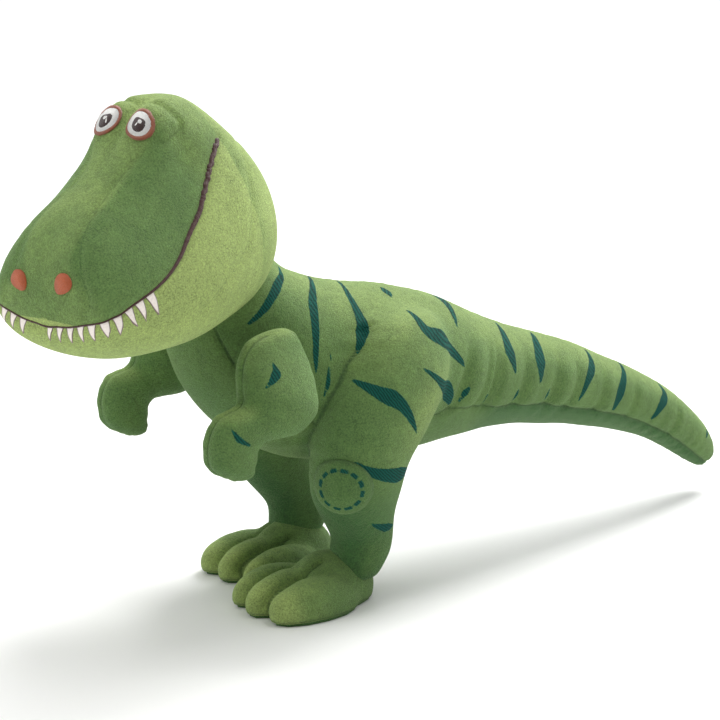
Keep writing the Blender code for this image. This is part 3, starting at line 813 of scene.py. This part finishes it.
def legs_on_body(points, ratio):
    """1 on the legs and 0 on the trunk, and the distance from the crease where they meet."""
    on_leg = np.zeros(len(points))
    crease = np.full(len(points), NO_SEAM)
    for side in (1, -1):
        difference = (ratio - leg_ratio(points, side)) * 30
        here = points[:, 0] * side > 0
        on_leg = np.where(here, np.maximum(on_leg, rise(difference, -2, 2)), on_leg)
        crease = np.where(here, np.minimum(crease, np.abs(difference)), crease)
    front = rise(points[:, 1], -8, -32) * rise(points[:, 2], 70, 90)
    return on_leg, crease + (1 - front) * 30, front


def body_seams(skin, on_leg):
    """The distance from the trunk's seams, and how they draw in and pucker the skin."""
    points, normals = points_of(skin), normals_of(skin)
    tree = tree_of(skin)
    seam = np.full(len(points), NO_SEAM)
    dent = np.zeros(len(points))
    for index, (angle, last, strong) in enumerate(TRUNK_SEAMS):
        u = np.linspace(0.5, last, 60)
        line = trunk_form.at(u, angle(u))
        gap, t = line_distance(points, normals, laid_on(tree, line, 70))
        gap = gap + on_leg * 40
        seam = np.minimum(seam, gap + (1 - strong) * 1.2)
        pucker = waves(t * length_of(line), index + 3, 17, 7) * drawn_in(gap, 0.75, 13)
        dent -= strong * (drawn_in(gap, 1.5, 2.6) - pucker * rise(gap, 0, 4)) * (1 - on_leg)
    return seam, dent


def tail_folds(u, side_v, on_leg):
    """Gathers where the tail joins the trunk, and soft folds along it above the gusset."""
    above = rise(side_v, 48, 8) * rise(side_v, belly_seam(u) - 6, belly_seam(u) + 2) * (1 - on_leg)
    root = np.exp(-((u - 5.75) / 0.3) ** 2)
    fold = 0.8 * root * above * waves(u * 45, 21, 7, 4)
    for place, deep, broadness in TAIL_FOLDS:
        slant = (u - place) * 42 - side_v * 0.03
        fold -= drawn_in(slant, deep, broadness) * above
        fold += drawn_in(slant - broadness * 2.6, deep * 0.7, broadness * 1.6) * above
    return fold


def shade_body(skin, points, normals, under, on_leg):
    """Painted top light, painted light on the hips where they face back, a paler front of the belly panel, a
    deeper tail gusset, and painted shade down the legs, underneath and on the chest.
    """
    y, z = points[:, 1], points[:, 2]
    # Painted light on faces turned up and on the hips where they face back; the belly panel is paler at the
    # front.
    light = 0.12 + 0.15 * under * (1 - rise(y, -10, 30)) + 0.34 * rise(normals[:, 2], 0.2, 0.9)
    light += 0.30 * on_leg * rise(z, 70, 130) * rise(z, 184, 140) * rise(normals[:, 1], -0.3, 0.4)
    # Painted shade down the legs, on faces turned down and on the chest; the tail gusset's deeper green is
    # its own.
    dark = under * rise(y, 58, 92) * 0.55 + on_leg * rise(z, 110, 50) * 0.45
    dark += 0.35 * rise(-normals[:, 2], 0.0, 0.7)
    dark += 0.3 * rise(-normals[:, 1], 0.2, 0.9) * rise(z, 230, 190)
    field(skin, "light", light)
    field(skin, "dark", dark)


BODY_PANELS = ["torso_back_left", "torso_back_right", "torso_belly", "leg_left_outer", "leg_left_inner",
               "leg_right_outer", "leg_right_inner", "tail_left", "tail_right", "tail_underside"]


def body_zones(skin, points, u, side_v, on_leg):
    """Which of the body's panels each face belongs to, as its number in BODY_PANELS."""
    faces = [list(p.vertices) for p in skin.polygons]
    middle = np.array([points[f].mean(0) for f in faces])
    own = np.array([on_leg[f].mean() for f in faces])
    lead = [f[0] for f in faces]
    below = side_v[lead] < belly_seam(u[lead])
    left = middle[:, 0] > 0
    zone = np.where(below, 2, np.where(left, 0, 1))
    zone = np.where(middle[:, 1] > TAIL_START, np.where(below, 9, np.where(left, 7, 8)), zone)
    for side, outer in ((1, 3), (-1, 5)):
        lower = np.clip((150 - middle[:, 2]) / 100, 0, 1)
        centre = np.interp(middle[:, 2], [34, 62, 96, 140, 182], [33, 39, 47, 46, 40])
        centre += LEG_SPREAD[side] * lower
        mine = (own > 0.5) & (middle[:, 0] * side > 0)
        zone = np.where(mine, np.where(middle[:, 0] * side > centre, outer, outer + 1), zone)
    return zone


def make_body():
    """The skins of trunk, tail and legs, puckered along their seams and cut into panels."""
    skin = body_shape()
    points, normals = points_of(skin), normals_of(skin)
    u, v, ratio = trunk_uv(points)
    side_v = up_from_side(v)
    on_leg, crease, front = legs_on_body(points, ratio)
    seam, dent = body_seams(skin, on_leg)
    gather = waves(points[:, 2], 11, 20, 9) * drawn_in(crease, 0.9, 15)
    dent -= front * (drawn_in(crease, 1.8, 3.0) - gather)
    dent += tail_folds(u, side_v, on_leg)
    dent += 0.7 * waves(points[:, 0] * 0.6 + points[:, 1] + points[:, 2] * 0.7, 31, 70, 35)
    dent -= 1.8 * rise(u, 1.5, 0.7)
    push(skin, dent)
    tree = tree_of(skin)
    field(skin, "stripe", np.minimum(*(stripe_field(skin, BODY_STRIPES, side, tree) for side in (1, -1))))
    field(skin, "seam", np.minimum(seam, crease))
    under = rise(side_v, belly_seam(u) + 2, belly_seam(u) - 2) * (1 - on_leg)
    shade_body(skin, points, normals, under, on_leg)
    zone = body_zones(skin, points, u, side_v, on_leg)
    carried(skin)
    start, end = ((0, (y + SHIFT[1]) * MM, 0.12) for y in (BEND_START, BEND_END))
    for name, panel in split(skin, zone, BODY_PANELS).items():
        made = finished(name + "_skin", panel, VELOUR)
        if name.startswith("leg"):
            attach(made, "torso")
        else:
            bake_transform(made, "torso", "tail", start, end)
        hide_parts(name)


make_body()


def make_arm(side, word):
    """An arm of two panels, flattened at the shoulder, creased at the elbow and puckered along its seams."""
    shift = ARM_BACKSET[side]
    form = arm_form(side)
    skin = welded("arm_skin", [loft(form, 0, form.last, 2.4)[:2]], ARM_STEP)
    relax(skin, 6)
    points = points_of(skin)
    flat = rise(points[:, 2], 150, 190) * 0.34 * rise(points[:, 0] * side, 52, 60)
    points[:, 0] = points[:, 0] * (1 - flat) + side * SHOULDER_FLAT * flat
    set_points(skin, points)
    relax(skin, 4)
    points, normals = points_of(skin), normals_of(skin)
    tree = tree_of(skin)
    seam = np.full(len(points), NO_SEAM)
    dent = np.zeros(len(points))
    u = np.linspace(0.4, form.last - 0.2, 40)
    for index, angle in enumerate((-90, 90)):
        line = laid_on(tree, form.at(u, angle + 0 * u), 50)
        gap, t = line_distance(points, normals, line)
        seam = np.minimum(seam, gap + 0.2)
        dent -= drawn_in(gap, 1.2, 2.4)
        dent += waves(t * 110, index + 41, 15, 7) * drawn_in(gap, 0.6, 12) * rise(gap, 0, 4)
    dent -= drawn_in(points[:, 1] + 146 - shift, 1.6, 5) * rise(points[:, 2], 138, 158)
    push(skin, dent)
    field(skin, "stripe", stripe_field(skin, ARM_STRIPES, side, tree_of(skin)))
    field(skin, "seam", seam)
    # Painted light on faces turned up, painted shade on faces turned down and forward.
    field(skin, "light", 0.10 + 0.35 * rise(normals[:, 2], 0.3, 1.0))
    field(skin, "dark", 0.35 * rise(-normals[:, 2], -0.2, 0.7) + 0.2 * rise(-normals[:, 1], 0.2, 0.9))
    centre = np.interp(points[:, 2], [108, 192], [67, 63])
    faces = [tuple(p.vertices) for p in skin.polygons]
    zone = [0 if points[f[0], 0] * side > centre[f[0]] else 1 for f in faces]
    carried(skin)
    for name, panel in split(skin, zone, [f"arm_{word}_outer", f"arm_{word}_inner"]).items():
        made = finished(name + "_skin", panel, VELOUR,
                        f"arm_{word}")
        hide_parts(name)


for hand, label in ((1, "left"), (-1, "right")):
    make_arm(hand, label)


def make_foot(side, word):
    """Three toes and a heel drawn in by the stitching between them, flat underneath."""
    px, py = FOOT_PLACE[side]
    rings, spokes = 24, 40
    falls, angles = np.meshgrid(np.linspace(0.02, math.pi - 0.02, rings),
                                np.arange(spokes) * 2 * math.pi / spokes, indexing="ij")
    ball = np.stack([np.sin(falls) * np.cos(angles), np.sin(falls) * np.sin(angles), np.cos(falls)], -1)
    parts = []
    for x, y, wide, long, high in LOBES:
        centre = np.array([side * (px + x), py + y, FLOOR + high * 0.30])
        size = np.array([wide, long, high * 0.70])
        parts.append((centre + ball.reshape(-1, 3) * size, grid_faces(rings, spokes)))
    skin = welded("foot_skin", parts, FOOT_STEP)
    points = points_of(skin)
    points[:, 2] = np.maximum(points[:, 2], FLOOR + SOLE)
    set_points(skin, points)

    def heel_softness(spots):
        back = rise(spots[:, 1], py - 72, py - 50)
        return (0.10 + 0.7 * back) * rise(spots[:, 2], FLOOR + SOLE + 0.5, FLOOR + SOLE + 5)

    relax(skin, 14, heel_softness)
    points, normals = points_of(skin), normals_of(skin)
    local_x, local_y = points[:, 0] * side - px, points[:, 1] - py
    seam = np.full(len(points), NO_SEAM)
    dent = np.zeros(len(points))
    for x in TOE_STITCHING:
        line = x + (local_y + 75) * (0.02 if x > 0 else -0.03)
        gap = np.abs(local_x - line) + rise(local_y, -62, -44) * 20
        seam = np.minimum(seam, gap * 1.2 + 0.2)
        dent -= drawn_in(gap, 3.0, 2.4) * rise(points[:, 2], 8, 14)
    rim = np.abs(points[:, 2] - (FLOOR + SOLE + 1.2))
    seam = np.minimum(seam, rim + 0.5)
    dent += 0.5 * waves(local_x + local_y * 0.8, 61 + side, 26, 10) * rise(points[:, 2], 10, 16)
    push(skin, dent)
    points = points_of(skin)
    points[:, 2] = np.maximum(points[:, 2], FLOOR + SOLE)
    set_points(skin, points)
    field(skin, "stripe", np.full(len(points), NO_STRIPE))
    field(skin, "seam", seam)
    # Lighter toward the toe tips, painted light on faces turned up, and painted shade toward the back of the
    # foot under the leg.
    field(skin, "light", 0.30 + 0.42 * rise(local_y, -88, -106) + 0.15 * rise(normals[:, 2], 0.4, 1))
    field(skin, "dark", 0.40 * rise(local_y, -96, -66))
    carried(skin)
    made = finished(f"foot_{word}_skin", skin, VELOUR, "torso")
    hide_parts(f"foot_{word}_upper")


for hand, label in ((1, "left"), (-1, "right")):
    make_foot(hand, label)


def head_frame(points):
    """Turns points from the head's own frame to the maker's frame."""
    turn = np.array(HEAD_TURN.to_matrix())
    return (np.asarray(points) - HEAD_PIVOT) @ turn.T + HEAD_PIVOT


def mouth_angle(u):
    path = np.array(MOUTH[2:])
    return np.interp(u, path[:, 0], path[:, 1])


def per_degree(u, v):
    return np.linalg.norm(head_form.section(u, v + 0.5) - head_form.section(u, v - 0.5), axis=-1)


def on_side(v, side):
    return v if side > 0 else 180 - v


def sculpted(u, side):
    """What the filling pushes out and the stitching pulls in on the head."""
    relief = -6.0 * np.exp(-((u - 6.6) / 2.0) ** 2) * rise(side, 5, -55) * rise(u, 2.5, 4.5)
    for far, along, reach, up, spread in HEAD_RELIEF:
        relief = relief + far * np.exp(-((u - along) / reach) ** 2 - ((side - up) / spread) ** 2)
    return relief


def head_line(path, side, count):
    """Points along a line given as u, v on the left of the head, on the side asked for."""
    pairs = curve_through(path, np.linspace(0, len(path) - 1, count))
    return head_form.at(pairs[:, 0], on_side(pairs[:, 1], side))


def head_seams(points, normals):
    """The distance from the head's seams, and how they and the mouth draw in and pucker the skin."""
    seam = np.full(len(points), NO_SEAM)
    mouth_gap = np.full(len(points), NO_SEAM)
    dent = np.zeros(len(points))
    seed = 50
    for path, strong in ((MUZZLE_SEAM, 0.8), (TEMPLE_DART, 1.5), (JAW_SEAM, 0.5)):
        for side in (1, -1):
            seed += 1
            line = head_line(path, side, 50)
            gap, t = line_distance(points, normals, line)
            seam = np.minimum(seam, gap + max(1 - strong, 0.5) * 1.4)
            ripple = waves(t * length_of(line), seed, 16, 7) * rise(gap, 0, 4)
            dent += strong * (ripple * drawn_in(gap, 0.6, 12) - drawn_in(gap, 1.3, 2.4))
    for side in (1, -1):
        mouth_gap = np.minimum(mouth_gap, line_distance(points, normals, head_line(MOUTH, side, 120))[0])
    return seam, dent - drawn_in(mouth_gap, 1.3, 2.8)


def shade_head(skin, normals, u, side_v):
    """A pale jaw, a back of the head that is partly the pale cloth and partly painted light, a green snout,
    painted top light, and painted shade on the cheeks.
    """
    below = rise(side_v, mouth_angle(u) + 3, mouth_angle(u) - 3)
    jaw = np.where(u < MOUTH_END, below, rise(u, 6.4, 8.6) * 0.8 + 0.2 * rise(side_v, 40, 0))
    jaw = np.clip(jaw, 0, 1)
    cheek = rise(side_v, 66, 60) * (1 - jaw) * rise(u, 0.8, 1.6) * rise(u, 6.4, 5.4)
    # Painted light on faces turned up; painted shade darkens the cheeks, most toward the muzzle.
    light = 0.30 + 0.62 * jaw + 0.30 * rise(normals[:, 2], 0.5, 1)
    field(skin, "light", light * (1 - 0.55 * cheek))
    field(skin, "dark", 0.12 * cheek * rise(u, 4.5, 1.5))


HEAD_PANELS = ["snout_top", "brow_left", "brow_right", "head_crown", "cheek_left", "cheek_right",
               "jaw_left", "jaw_right"]


def head_zones(u, v, side_v):
    """Which of the head's panels each place belongs to, as its number in HEAD_PANELS."""
    left = v < 90
    top = np.where(u < 5.2, 0, np.where(u < 7.2, np.where(left, 1, 2), 3))
    lower = (side_v < mouth_angle(u)) | (u > MOUTH_END)
    flank = np.where(lower, np.where(left, 6, 7), np.where(left, 4, 5))
    return np.where(side_v > 55, top, flank)


def make_head():
    """The head's skin, cut into panels. It returns the whole surface, before the head is turned."""
    points, faces, u, v = loft(head_form, 0, head_form.last, HEAD_STEP)
    skin = mesh_of("head_skin", points, faces)
    normals = head_form.normal(u, v)
    v = np.where(v > 270, v - 360, v)
    side_v = up_from_side(v)
    seam, dent = head_seams(points, normals)
    dent += sculpted(u, side_v)
    dent += 0.5 * waves(points[:, 0] + points[:, 1] * 0.7 + points[:, 2] * 0.5, 71, 80, 35)
    set_points(skin, points + normals * dent[:, None])
    shade_head(skin, normals, u, side_v)
    field(skin, "seam", seam)
    field(skin, "stripe", np.full(len(points), NO_STRIPE))
    lead = [f.vertices[0] for f in skin.polygons]
    zone = head_zones(u[lead], v[lead], side_v[lead])
    surface = tree_of(skin)
    set_points(skin, head_frame(points_of(skin)))
    carried(skin)
    for name, panel in split(skin, zone, HEAD_PANELS).items():
        made = finished(name + "_skin", panel, VELOUR, "head")
        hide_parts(name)
    return surface


head_surface = make_head()


def on_head(points, lift):
    """The points pressed onto the finished head and raised by lift."""
    out = []
    for point, up in zip(np.atleast_2d(points), np.broadcast_to(lift, len(np.atleast_2d(points)))):
        place, normal, _, _ = head_surface.find_nearest(Vector(point))
        out.append(np.array(place) + np.array(normal) * up)
    return np.array(out)


def head_piece(name, points, faces, finish, slot, *nodes):
    mesh = mesh_of(name, head_frame(points), faces)
    carried(mesh)
    made = finished(name, mesh, finish, "head")
    if nodes:
        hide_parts(*nodes)
    return made


def embroidered(name, u0, v0, outline, lift, dome, finish, slot, *nodes, inner=0.0, centre=(0.0, 0.0)):
    """A raised stitched shape: outline(angle) is its outer radius, inner its hole as a share of that."""
    rings, spokes = 10, 72
    step = 0.05
    per_u = np.linalg.norm(head_form.at(u0 + step, v0) - head_form.at(u0 - step, v0)) / (2 * step)
    per_v = per_degree(np.array(u0), np.array(v0))
    angle = np.arange(spokes) * 2 * math.pi / spokes
    reach = np.array([outline(a) for a in angle])
    layers = []
    for k in range(rings + 1):
        share = inner + (1 - inner) * k / rings
        crown = math.sin(math.pi * k / rings) if inner else 1 - share**2
        layers.append((share, lift + dome * max(crown, 0.0) ** 0.5))
    layers += [(1.0, -1.0), (inner, -1.0)]
    points = []
    for share, height in layers:
        du = (reach * share * np.sin(angle) + centre[1]) / per_u
        dv = (reach * share * np.cos(angle) + centre[0]) / per_v
        points.append(on_head(head_form.at(u0 + du, v0 - dv), height))
    total = len(layers)
    faces = []
    for i in range(total if inner else total - 1):
        for j in range(spokes):
            k = (j + 1) % spokes
            a, b = i * spokes, (i + 1) % total * spokes
            faces.append((a + j, b + j, b + k, a + k))
    return head_piece(name, np.vstack(points), faces, finish, slot, *nodes)


def oval(radius, stretch=0.07):
    return lambda angle: radius * (1 - stretch * math.cos(2 * angle))


def pupil_outline(angle):
    """An upright oval with a shallow notch on top."""
    notch = 0.22 * math.exp(-((angle - 1.57) / 0.35) ** 2)
    return oval(PUPIL_RADIUS, 0.16)(angle) * (1.05 - notch)


def make_eyes():
    """Embroidered eyes, each a ring, a white, a pupil and a glint, and the nostrils."""
    for side, word in ((1, "left"), (-1, "right")):
        eye = (EYE_U, on_side(90 - EYE_V, side))
        embroidered(f"eye_ring_{word}_stitch", *eye, oval(EYE_RADIUS), 0.1, 0.5, RING,
                    "thread_orange", f"eye_ring_{word}", inner=0.78)
        embroidered(f"eye_white_{word}_stitch", *eye, oval(EYE_RADIUS * 0.79), 0.1, 0.35, WHITE,
                    "thread_white", f"eye_white_{word}")
        embroidered(f"pupil_{word}_stitch", *eye, pupil_outline, 0.5, 0.4, DARK,
                    "thread_dark", f"pupil_{word}", centre=(0.6 * side, 0.0))
        embroidered(f"eye_glint_{word}_stitch", *eye, oval(1.0, 0.0), 0.9, 0.2, WHITE,
                    "thread_white", centre=(0.9 * side, 1.6))
        embroidered(f"nostril_{word}_stitch", NOSTRIL_U, on_side(NOSTRIL_V[side], side),
                    oval(NOSTRIL_RADIUS, 0.05), 0.1, 0.5, ORANGE, "thread_orange", f"nostril_{word}")


make_eyes()


def mouth_track(side):
    """The mouth line on the finished head, the way down from it along the skin, and the distance along it."""
    line = on_head(head_line(MOUTH, side, 600), 0.0)
    length = np.concatenate([[0], np.cumsum(np.linalg.norm(np.diff(line, axis=0), axis=1))])
    even = np.linspace(0, length[-1], 600)
    line = np.stack([np.interp(even, length, line[:, k]) for k in range(3)], -1)
    kernel = np.ones(15) / 15
    padded = np.pad(line, ((7, 7), (0, 0)), mode="edge")
    line = np.stack([np.convolve(padded[:, k], kernel, mode="valid") for k in range(3)], -1)
    out = np.array([np.array(head_surface.find_nearest(Vector(p))[1]) for p in line])
    down = unit(np.cross(unit(np.gradient(line, axis=0)), out))
    down = np.where(np.sum(down * (line - head_form.at(3.0, -90.0)), 1, keepdims=True) > 0, -down, down)
    return line, down, even


def mouth_points(track, places, below, lift):
    """Points at places along the mouth, below it along the skin, and raised by lift."""
    line, down, even = track
    at = np.stack([np.interp(places, even, line[:, k]) for k in range(3)], -1)
    way = np.stack([np.interp(places, even, down[:, k]) for k in range(3)], -1)
    return on_head(at + unit(way) * np.reshape(below, (-1, 1)), lift)


def tube(path, radii, sides=10):
    """A closed round tube along a path of points."""
    path = np.asarray(path)
    along = unit(np.gradient(path, axis=0))
    up = unit(np.cross(along, [0.3, 0.1, 1.0]))
    over = np.cross(along, up)
    angle = np.arange(sides) * 2 * math.pi / sides
    rings = (path[:, None] + radii[:, None, None] * (np.cos(angle)[None, :, None] * up[:, None]
                                                     + np.sin(angle)[None, :, None] * over[:, None]))
    return rings.reshape(-1, 3), grid_faces(len(path), sides)


def make_mouth():
    """The stitched mouth line: a fine line in front that grows into ragged satin stitch at the corners."""
    path, radii = [], []
    for side, order in ((-1, -1), (1, 1)):
        track = mouth_track(side)
        total = track[2][-1]
        places = np.linspace(0.6, total, 300)[::order]
        wide = 0.6 + 1.0 * rise(places, total * 0.25, total * 0.75)
        rag = waves(places, 91 + side, 9, 2.5) * 1.1 * rise(places, total * 0.5, total * 0.8)
        path.append(mouth_points(track, places, rag, 0.15))
        taper = 1 - 0.8 * rise(places, total - 3, total)
        radii.append(wide * (1 + 0.12 * waves(places, 95 + side, 6, 2.5)) * taper)
    points, faces = tube(np.vstack(path), np.concatenate(radii))
    head_piece("mouth_line_stitch", points, faces, MOUTH_THREAD, "thread_dark", "mouth_cord")


def tooth_points(track, middle, rows, columns):
    """A felt tooth's front and back net, from mouth line to tip, and how far each point is from its edge."""
    longer = min(middle / 74.0, 1.0)
    length = TOOTH_SHORTEST + (TOOTH_LONGEST - TOOTH_SHORTEST) * longer
    across = np.linspace(-1, 1, columns)
    points, edge = [], []
    for lift, crown in ((1.3, 0.5), (-0.2, 0.0)):
        for t in np.linspace(0, 1, rows):
            half = (TOOTH_BASE + middle * 0.012) / 2 * (1 - t) ** 0.9 + 0.12
            puff = lift + crown * (1 - across**2) * (1 - t * 0.6)
            places = middle + across * half - t * 0.8
            points += list(mouth_points(track, places, 0.3 + t * length + 0 * across, puff))
            edge += list(np.minimum((1 - np.abs(across)) * half, (1 - t) * length * 0.4))
    return points, edge


def tooth_faces(start, rows, columns):
    """Front, back and rim of a tooth whose points begin at start."""
    back = rows * columns
    faces = []
    for i in range(rows - 1):
        for j in range(columns - 1):
            a = start + i * columns + j
            faces.append((a, a + 1, a + columns + 1, a + columns))
            faces.append((a + back, a + back + columns, a + back + columns + 1, a + back + 1))
    rim = [i * columns for i in range(rows)]
    rim += [(rows - 1) * columns + j for j in range(1, columns)]
    rim += [i * columns + columns - 1 for i in range(rows - 2, -1, -1)]
    rim += list(range(columns - 2, 0, -1))
    for a, b in zip(rim, rim[1:] + rim[:1]):
        faces.append((start + a, start + b, start + b + back, start + a + back))
    return faces


def make_teeth():
    rows, columns = 9, 7
    for side, word in ((1, "left"), (-1, "right")):
        points, faces, edge = [], [], []
        track = mouth_track(side)
        for k in range(TOOTH_COUNT[side]):
            faces += tooth_faces(len(points), rows, columns)
            tooth, rim = tooth_points(track, TOOTH_FIRST[side] + TOOTH_STEP * k, rows, columns)
            points += tooth
            edge += rim
        mesh = mesh_of("teeth", head_frame(np.array(points)), faces)
        field(mesh, "edge", edge)
        carried(mesh)
        made = finished(f"teeth_{word}_felt", mesh, FELT, "head")
        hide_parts(f"teeth_{word}")


make_mouth()
make_teeth()


def make_knee_patch(side, word):
    """A round pad sewn on the knee, with a ring of plain running stitch."""
    form = Form(leg_rows(side), side=side)
    leg_points, leg_faces = loft(form, 0, len(LEG), LOFT_STEP)[:2]
    leg = BVHTree.FromPolygons([Vector(p) for p in leg_points], leg_faces)
    rings, spokes = 12, 72
    centre = form.at(KNEE_U, KNEE_V)
    out = form.normal(KNEE_U, KNEE_V)
    across = unit(np.cross(out, [0, 0, 1.0]))
    up = np.cross(across, out)

    def on_leg(radius, number, height):
        """A point of the pad at a height over the leg's skin, looking back along out."""
        a = 2 * math.pi * number / spokes
        flat = centre + across * radius * math.cos(a) + up * radius * math.sin(a)
        hit = leg.ray_cast(Vector(flat + out * 30), Vector(-out), 60)[0]
        return (np.array(hit) if hit else flat) + out * height

    points, seam, stripe = [], [], []
    for k in range(rings + 1):
        share = k / rings
        radius = KNEE_RADIUS * share
        for j in range(spokes):
            points.append(on_leg(radius, j, KNEE_CROWN * (1 - share**2) ** 0.5 + 0.4))
            seam.append(abs(radius - KNEE_RADIUS * 0.97) + 0.2)
            dash = abs((j % 6) - 2.5) * radius * 2 * math.pi / spokes - 2.6
            stripe.append(max(abs(radius - KNEE_RADIUS * 0.70) - 1.2, dash))
    for j in range(spokes):
        points.append(on_leg(KNEE_RADIUS, j, -1.5))
        seam.append(0.2)
        stripe.append(NO_STRIPE)
    faces = []
    for i in range(rings + 1):
        for j in range(spokes):
            k = (j + 1) % spokes
            faces.append((i * spokes + j, i * spokes + k, (i + 1) * spokes + k, (i + 1) * spokes + j))
    if side < 0:
        faces = [tuple(reversed(f)) for f in faces]
    mesh = mesh_of("knee_patch", points, faces)
    field(mesh, "seam", seam)
    field(mesh, "stripe", stripe)
    field(mesh, "light", np.full(len(points), 0.05))
    field(mesh, "dark", np.full(len(points), 0.35))
    carried(mesh)
    made = finished(f"knee_patch_{word}_pad", mesh, VELOUR, "torso")
    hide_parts(f"knee_patch_{word}")


for hand, label in ((1, "left"), (-1, "right")):
    make_knee_patch(hand, label)


def dress_node(name, node):
    """Finishes a piece that is carried over as it is: fillings and pouches are also tucked in."""
    inside = "filling" in name or "pouch" in name
    finish = POUCH if "pouch" in name else FIBRE if inside else VELOUR
    for place in node.material_slots:
        place.material = finish
    if inside:
        even = node.modifiers.new("evened", "REMESH")
        even.mode = "VOXEL"
        even.voxel_size = FILLING_STEP * MM
        even.use_smooth_shade = True
        tuck = node.modifiers.new("tucked_in", "DISPLACE")
        tuck.strength = -(TUCKED_ARM if "arm" in name else TUCKED_HEAD if "head" in name else TUCKED) * MM
        tuck.mid_level = 0.0
    if "sole" in name:
        for key, value in (("seam", 30), ("stripe", NO_STRIPE), ("light", 0.1), ("dark", 0.6)):
            field(node.data, key, np.full(len(node.data.vertices), value))


for node_name, cad_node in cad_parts.items():
    if not cad_node.hide_render:
        dress_node(node_name, cad_node)


def make_stage():
    """A pale floor that brightens into the background further out."""
    floor_mesh = bpy.data.meshes.new("floor")
    reach = 60.0
    corners = [(-reach, -reach, 0), (reach, -reach, 0), (reach, reach, 0), (-reach, reach, 0)]
    floor_mesh.from_pydata(corners, [], [(0, 1, 2, 3)])
    floor = bpy.data.objects.new("floor", floor_mesh)
    bpy.context.scene.collection.objects.link(floor)
    pale = Finish("pale_floor", 0.6)
    grain = pale.noise(4.0, 2.0)
    pale.feed("Base Color", pale.shade((0.86, 0.86, 0.85), 0.98 + grain * 0.04))
    # Painted light: the floor glows more further out, fading it into the white background.
    away = pale.node("ShaderNodeVectorMath", {"operation": "LENGTH"}, {0: pale.place}, 1)
    pale.feed("Emission Color", pale.shade((0.42, 0.42, 0.42), pale.clamp(away, 0.4, 3.0)))
    pale.shader.inputs["Emission Strength"].default_value = 1.0
    floor_mesh.materials.append(pale.material)


# Softboxes: place and width in metres, and power.
SOFTBOXES = {
    "back_softbox": ((-0.5, 1.3, 1.5), 1.0, 40),
    "front_softbox": ((-0.2, -1.6, 1.0), 1.0, 7),
    "top_softbox": ((0.2, 0.1, 1.8), 1.2, 12),
}
SOFTBOX_AIM = Vector((0, -0.05, 0.12))

# The camera: its angle round the dinosaur and above it in degrees, its distance in metres, and its lens.
CAMERA_ROUND = 50
CAMERA_ABOVE = 11
CAMERA_AWAY = 1.2
CAMERA_LENS = 92.4
CAMERA_HEIGHT = 150.0


def make_softboxes():
    for name, (place, size, power) in SOFTBOXES.items():
        lamp = bpy.data.lights.new(name, "AREA")
        lamp.shape = "DISK"
        lamp.size = size
        lamp.energy = power
        holder = bpy.data.objects.new(name, lamp)
        holder.location = place
        holder.rotation_euler = (SOFTBOX_AIM - Vector(place)).to_track_quat("-Z", "Y").to_euler()
        bpy.context.scene.collection.objects.link(holder)


def make_world():
    """A white surround, brighter behind and above on the right."""
    world = bpy.data.worlds.new("studio")
    world.use_nodes = True
    nodes, links = world.node_tree.nodes, world.node_tree.links
    way = nodes.new("ShaderNodeTexCoord")
    toward = nodes.new("ShaderNodeVectorMath")
    toward.operation = "DOT_PRODUCT"
    toward.inputs[1].default_value = (-0.55, 0.55, 0.63)
    ramp = nodes.new("ShaderNodeMapRange")
    ramp.interpolation_type = "SMOOTHSTEP"
    for socket, value in (("From Min", -0.4), ("From Max", 0.8), ("To Min", 0.22), ("To Max", 1.05)):
        ramp.inputs[socket].default_value = value
    links.new(way.outputs["Generated"], toward.inputs[0])
    links.new(toward.outputs["Value"], ramp.inputs["Value"])
    links.new(ramp.outputs["Result"], nodes["Background"].inputs["Strength"])
    nodes["Background"].inputs["Color"].default_value = (1, 1, 1, 1)
    bpy.context.scene.world = world
    bpy.context.scene.view_settings.view_transform = "Standard"


def make_camera():
    azimuth, elevation = math.radians(CAMERA_ROUND), math.radians(CAMERA_ABOVE)
    target = Vector((0, SHIFT[1] * MM, (CAMERA_HEIGHT + SHIFT[2]) * MM))
    back = Vector((math.sin(azimuth) * math.cos(elevation), -math.cos(azimuth) * math.cos(elevation),
                   math.sin(elevation)))
    camera_data = bpy.data.cameras.new("camera")
    camera_data.sensor_width = 36
    camera_data.lens = CAMERA_LENS
    camera = bpy.data.objects.new("camera", camera_data)
    camera.location = target + back * CAMERA_AWAY
    camera.rotation_euler = (-back).to_track_quat("-Z", "Y").to_euler()
    bpy.context.scene.collection.objects.link(camera)
    bpy.context.scene.camera = camera


make_stage()
make_softboxes()
make_world()
make_camera()
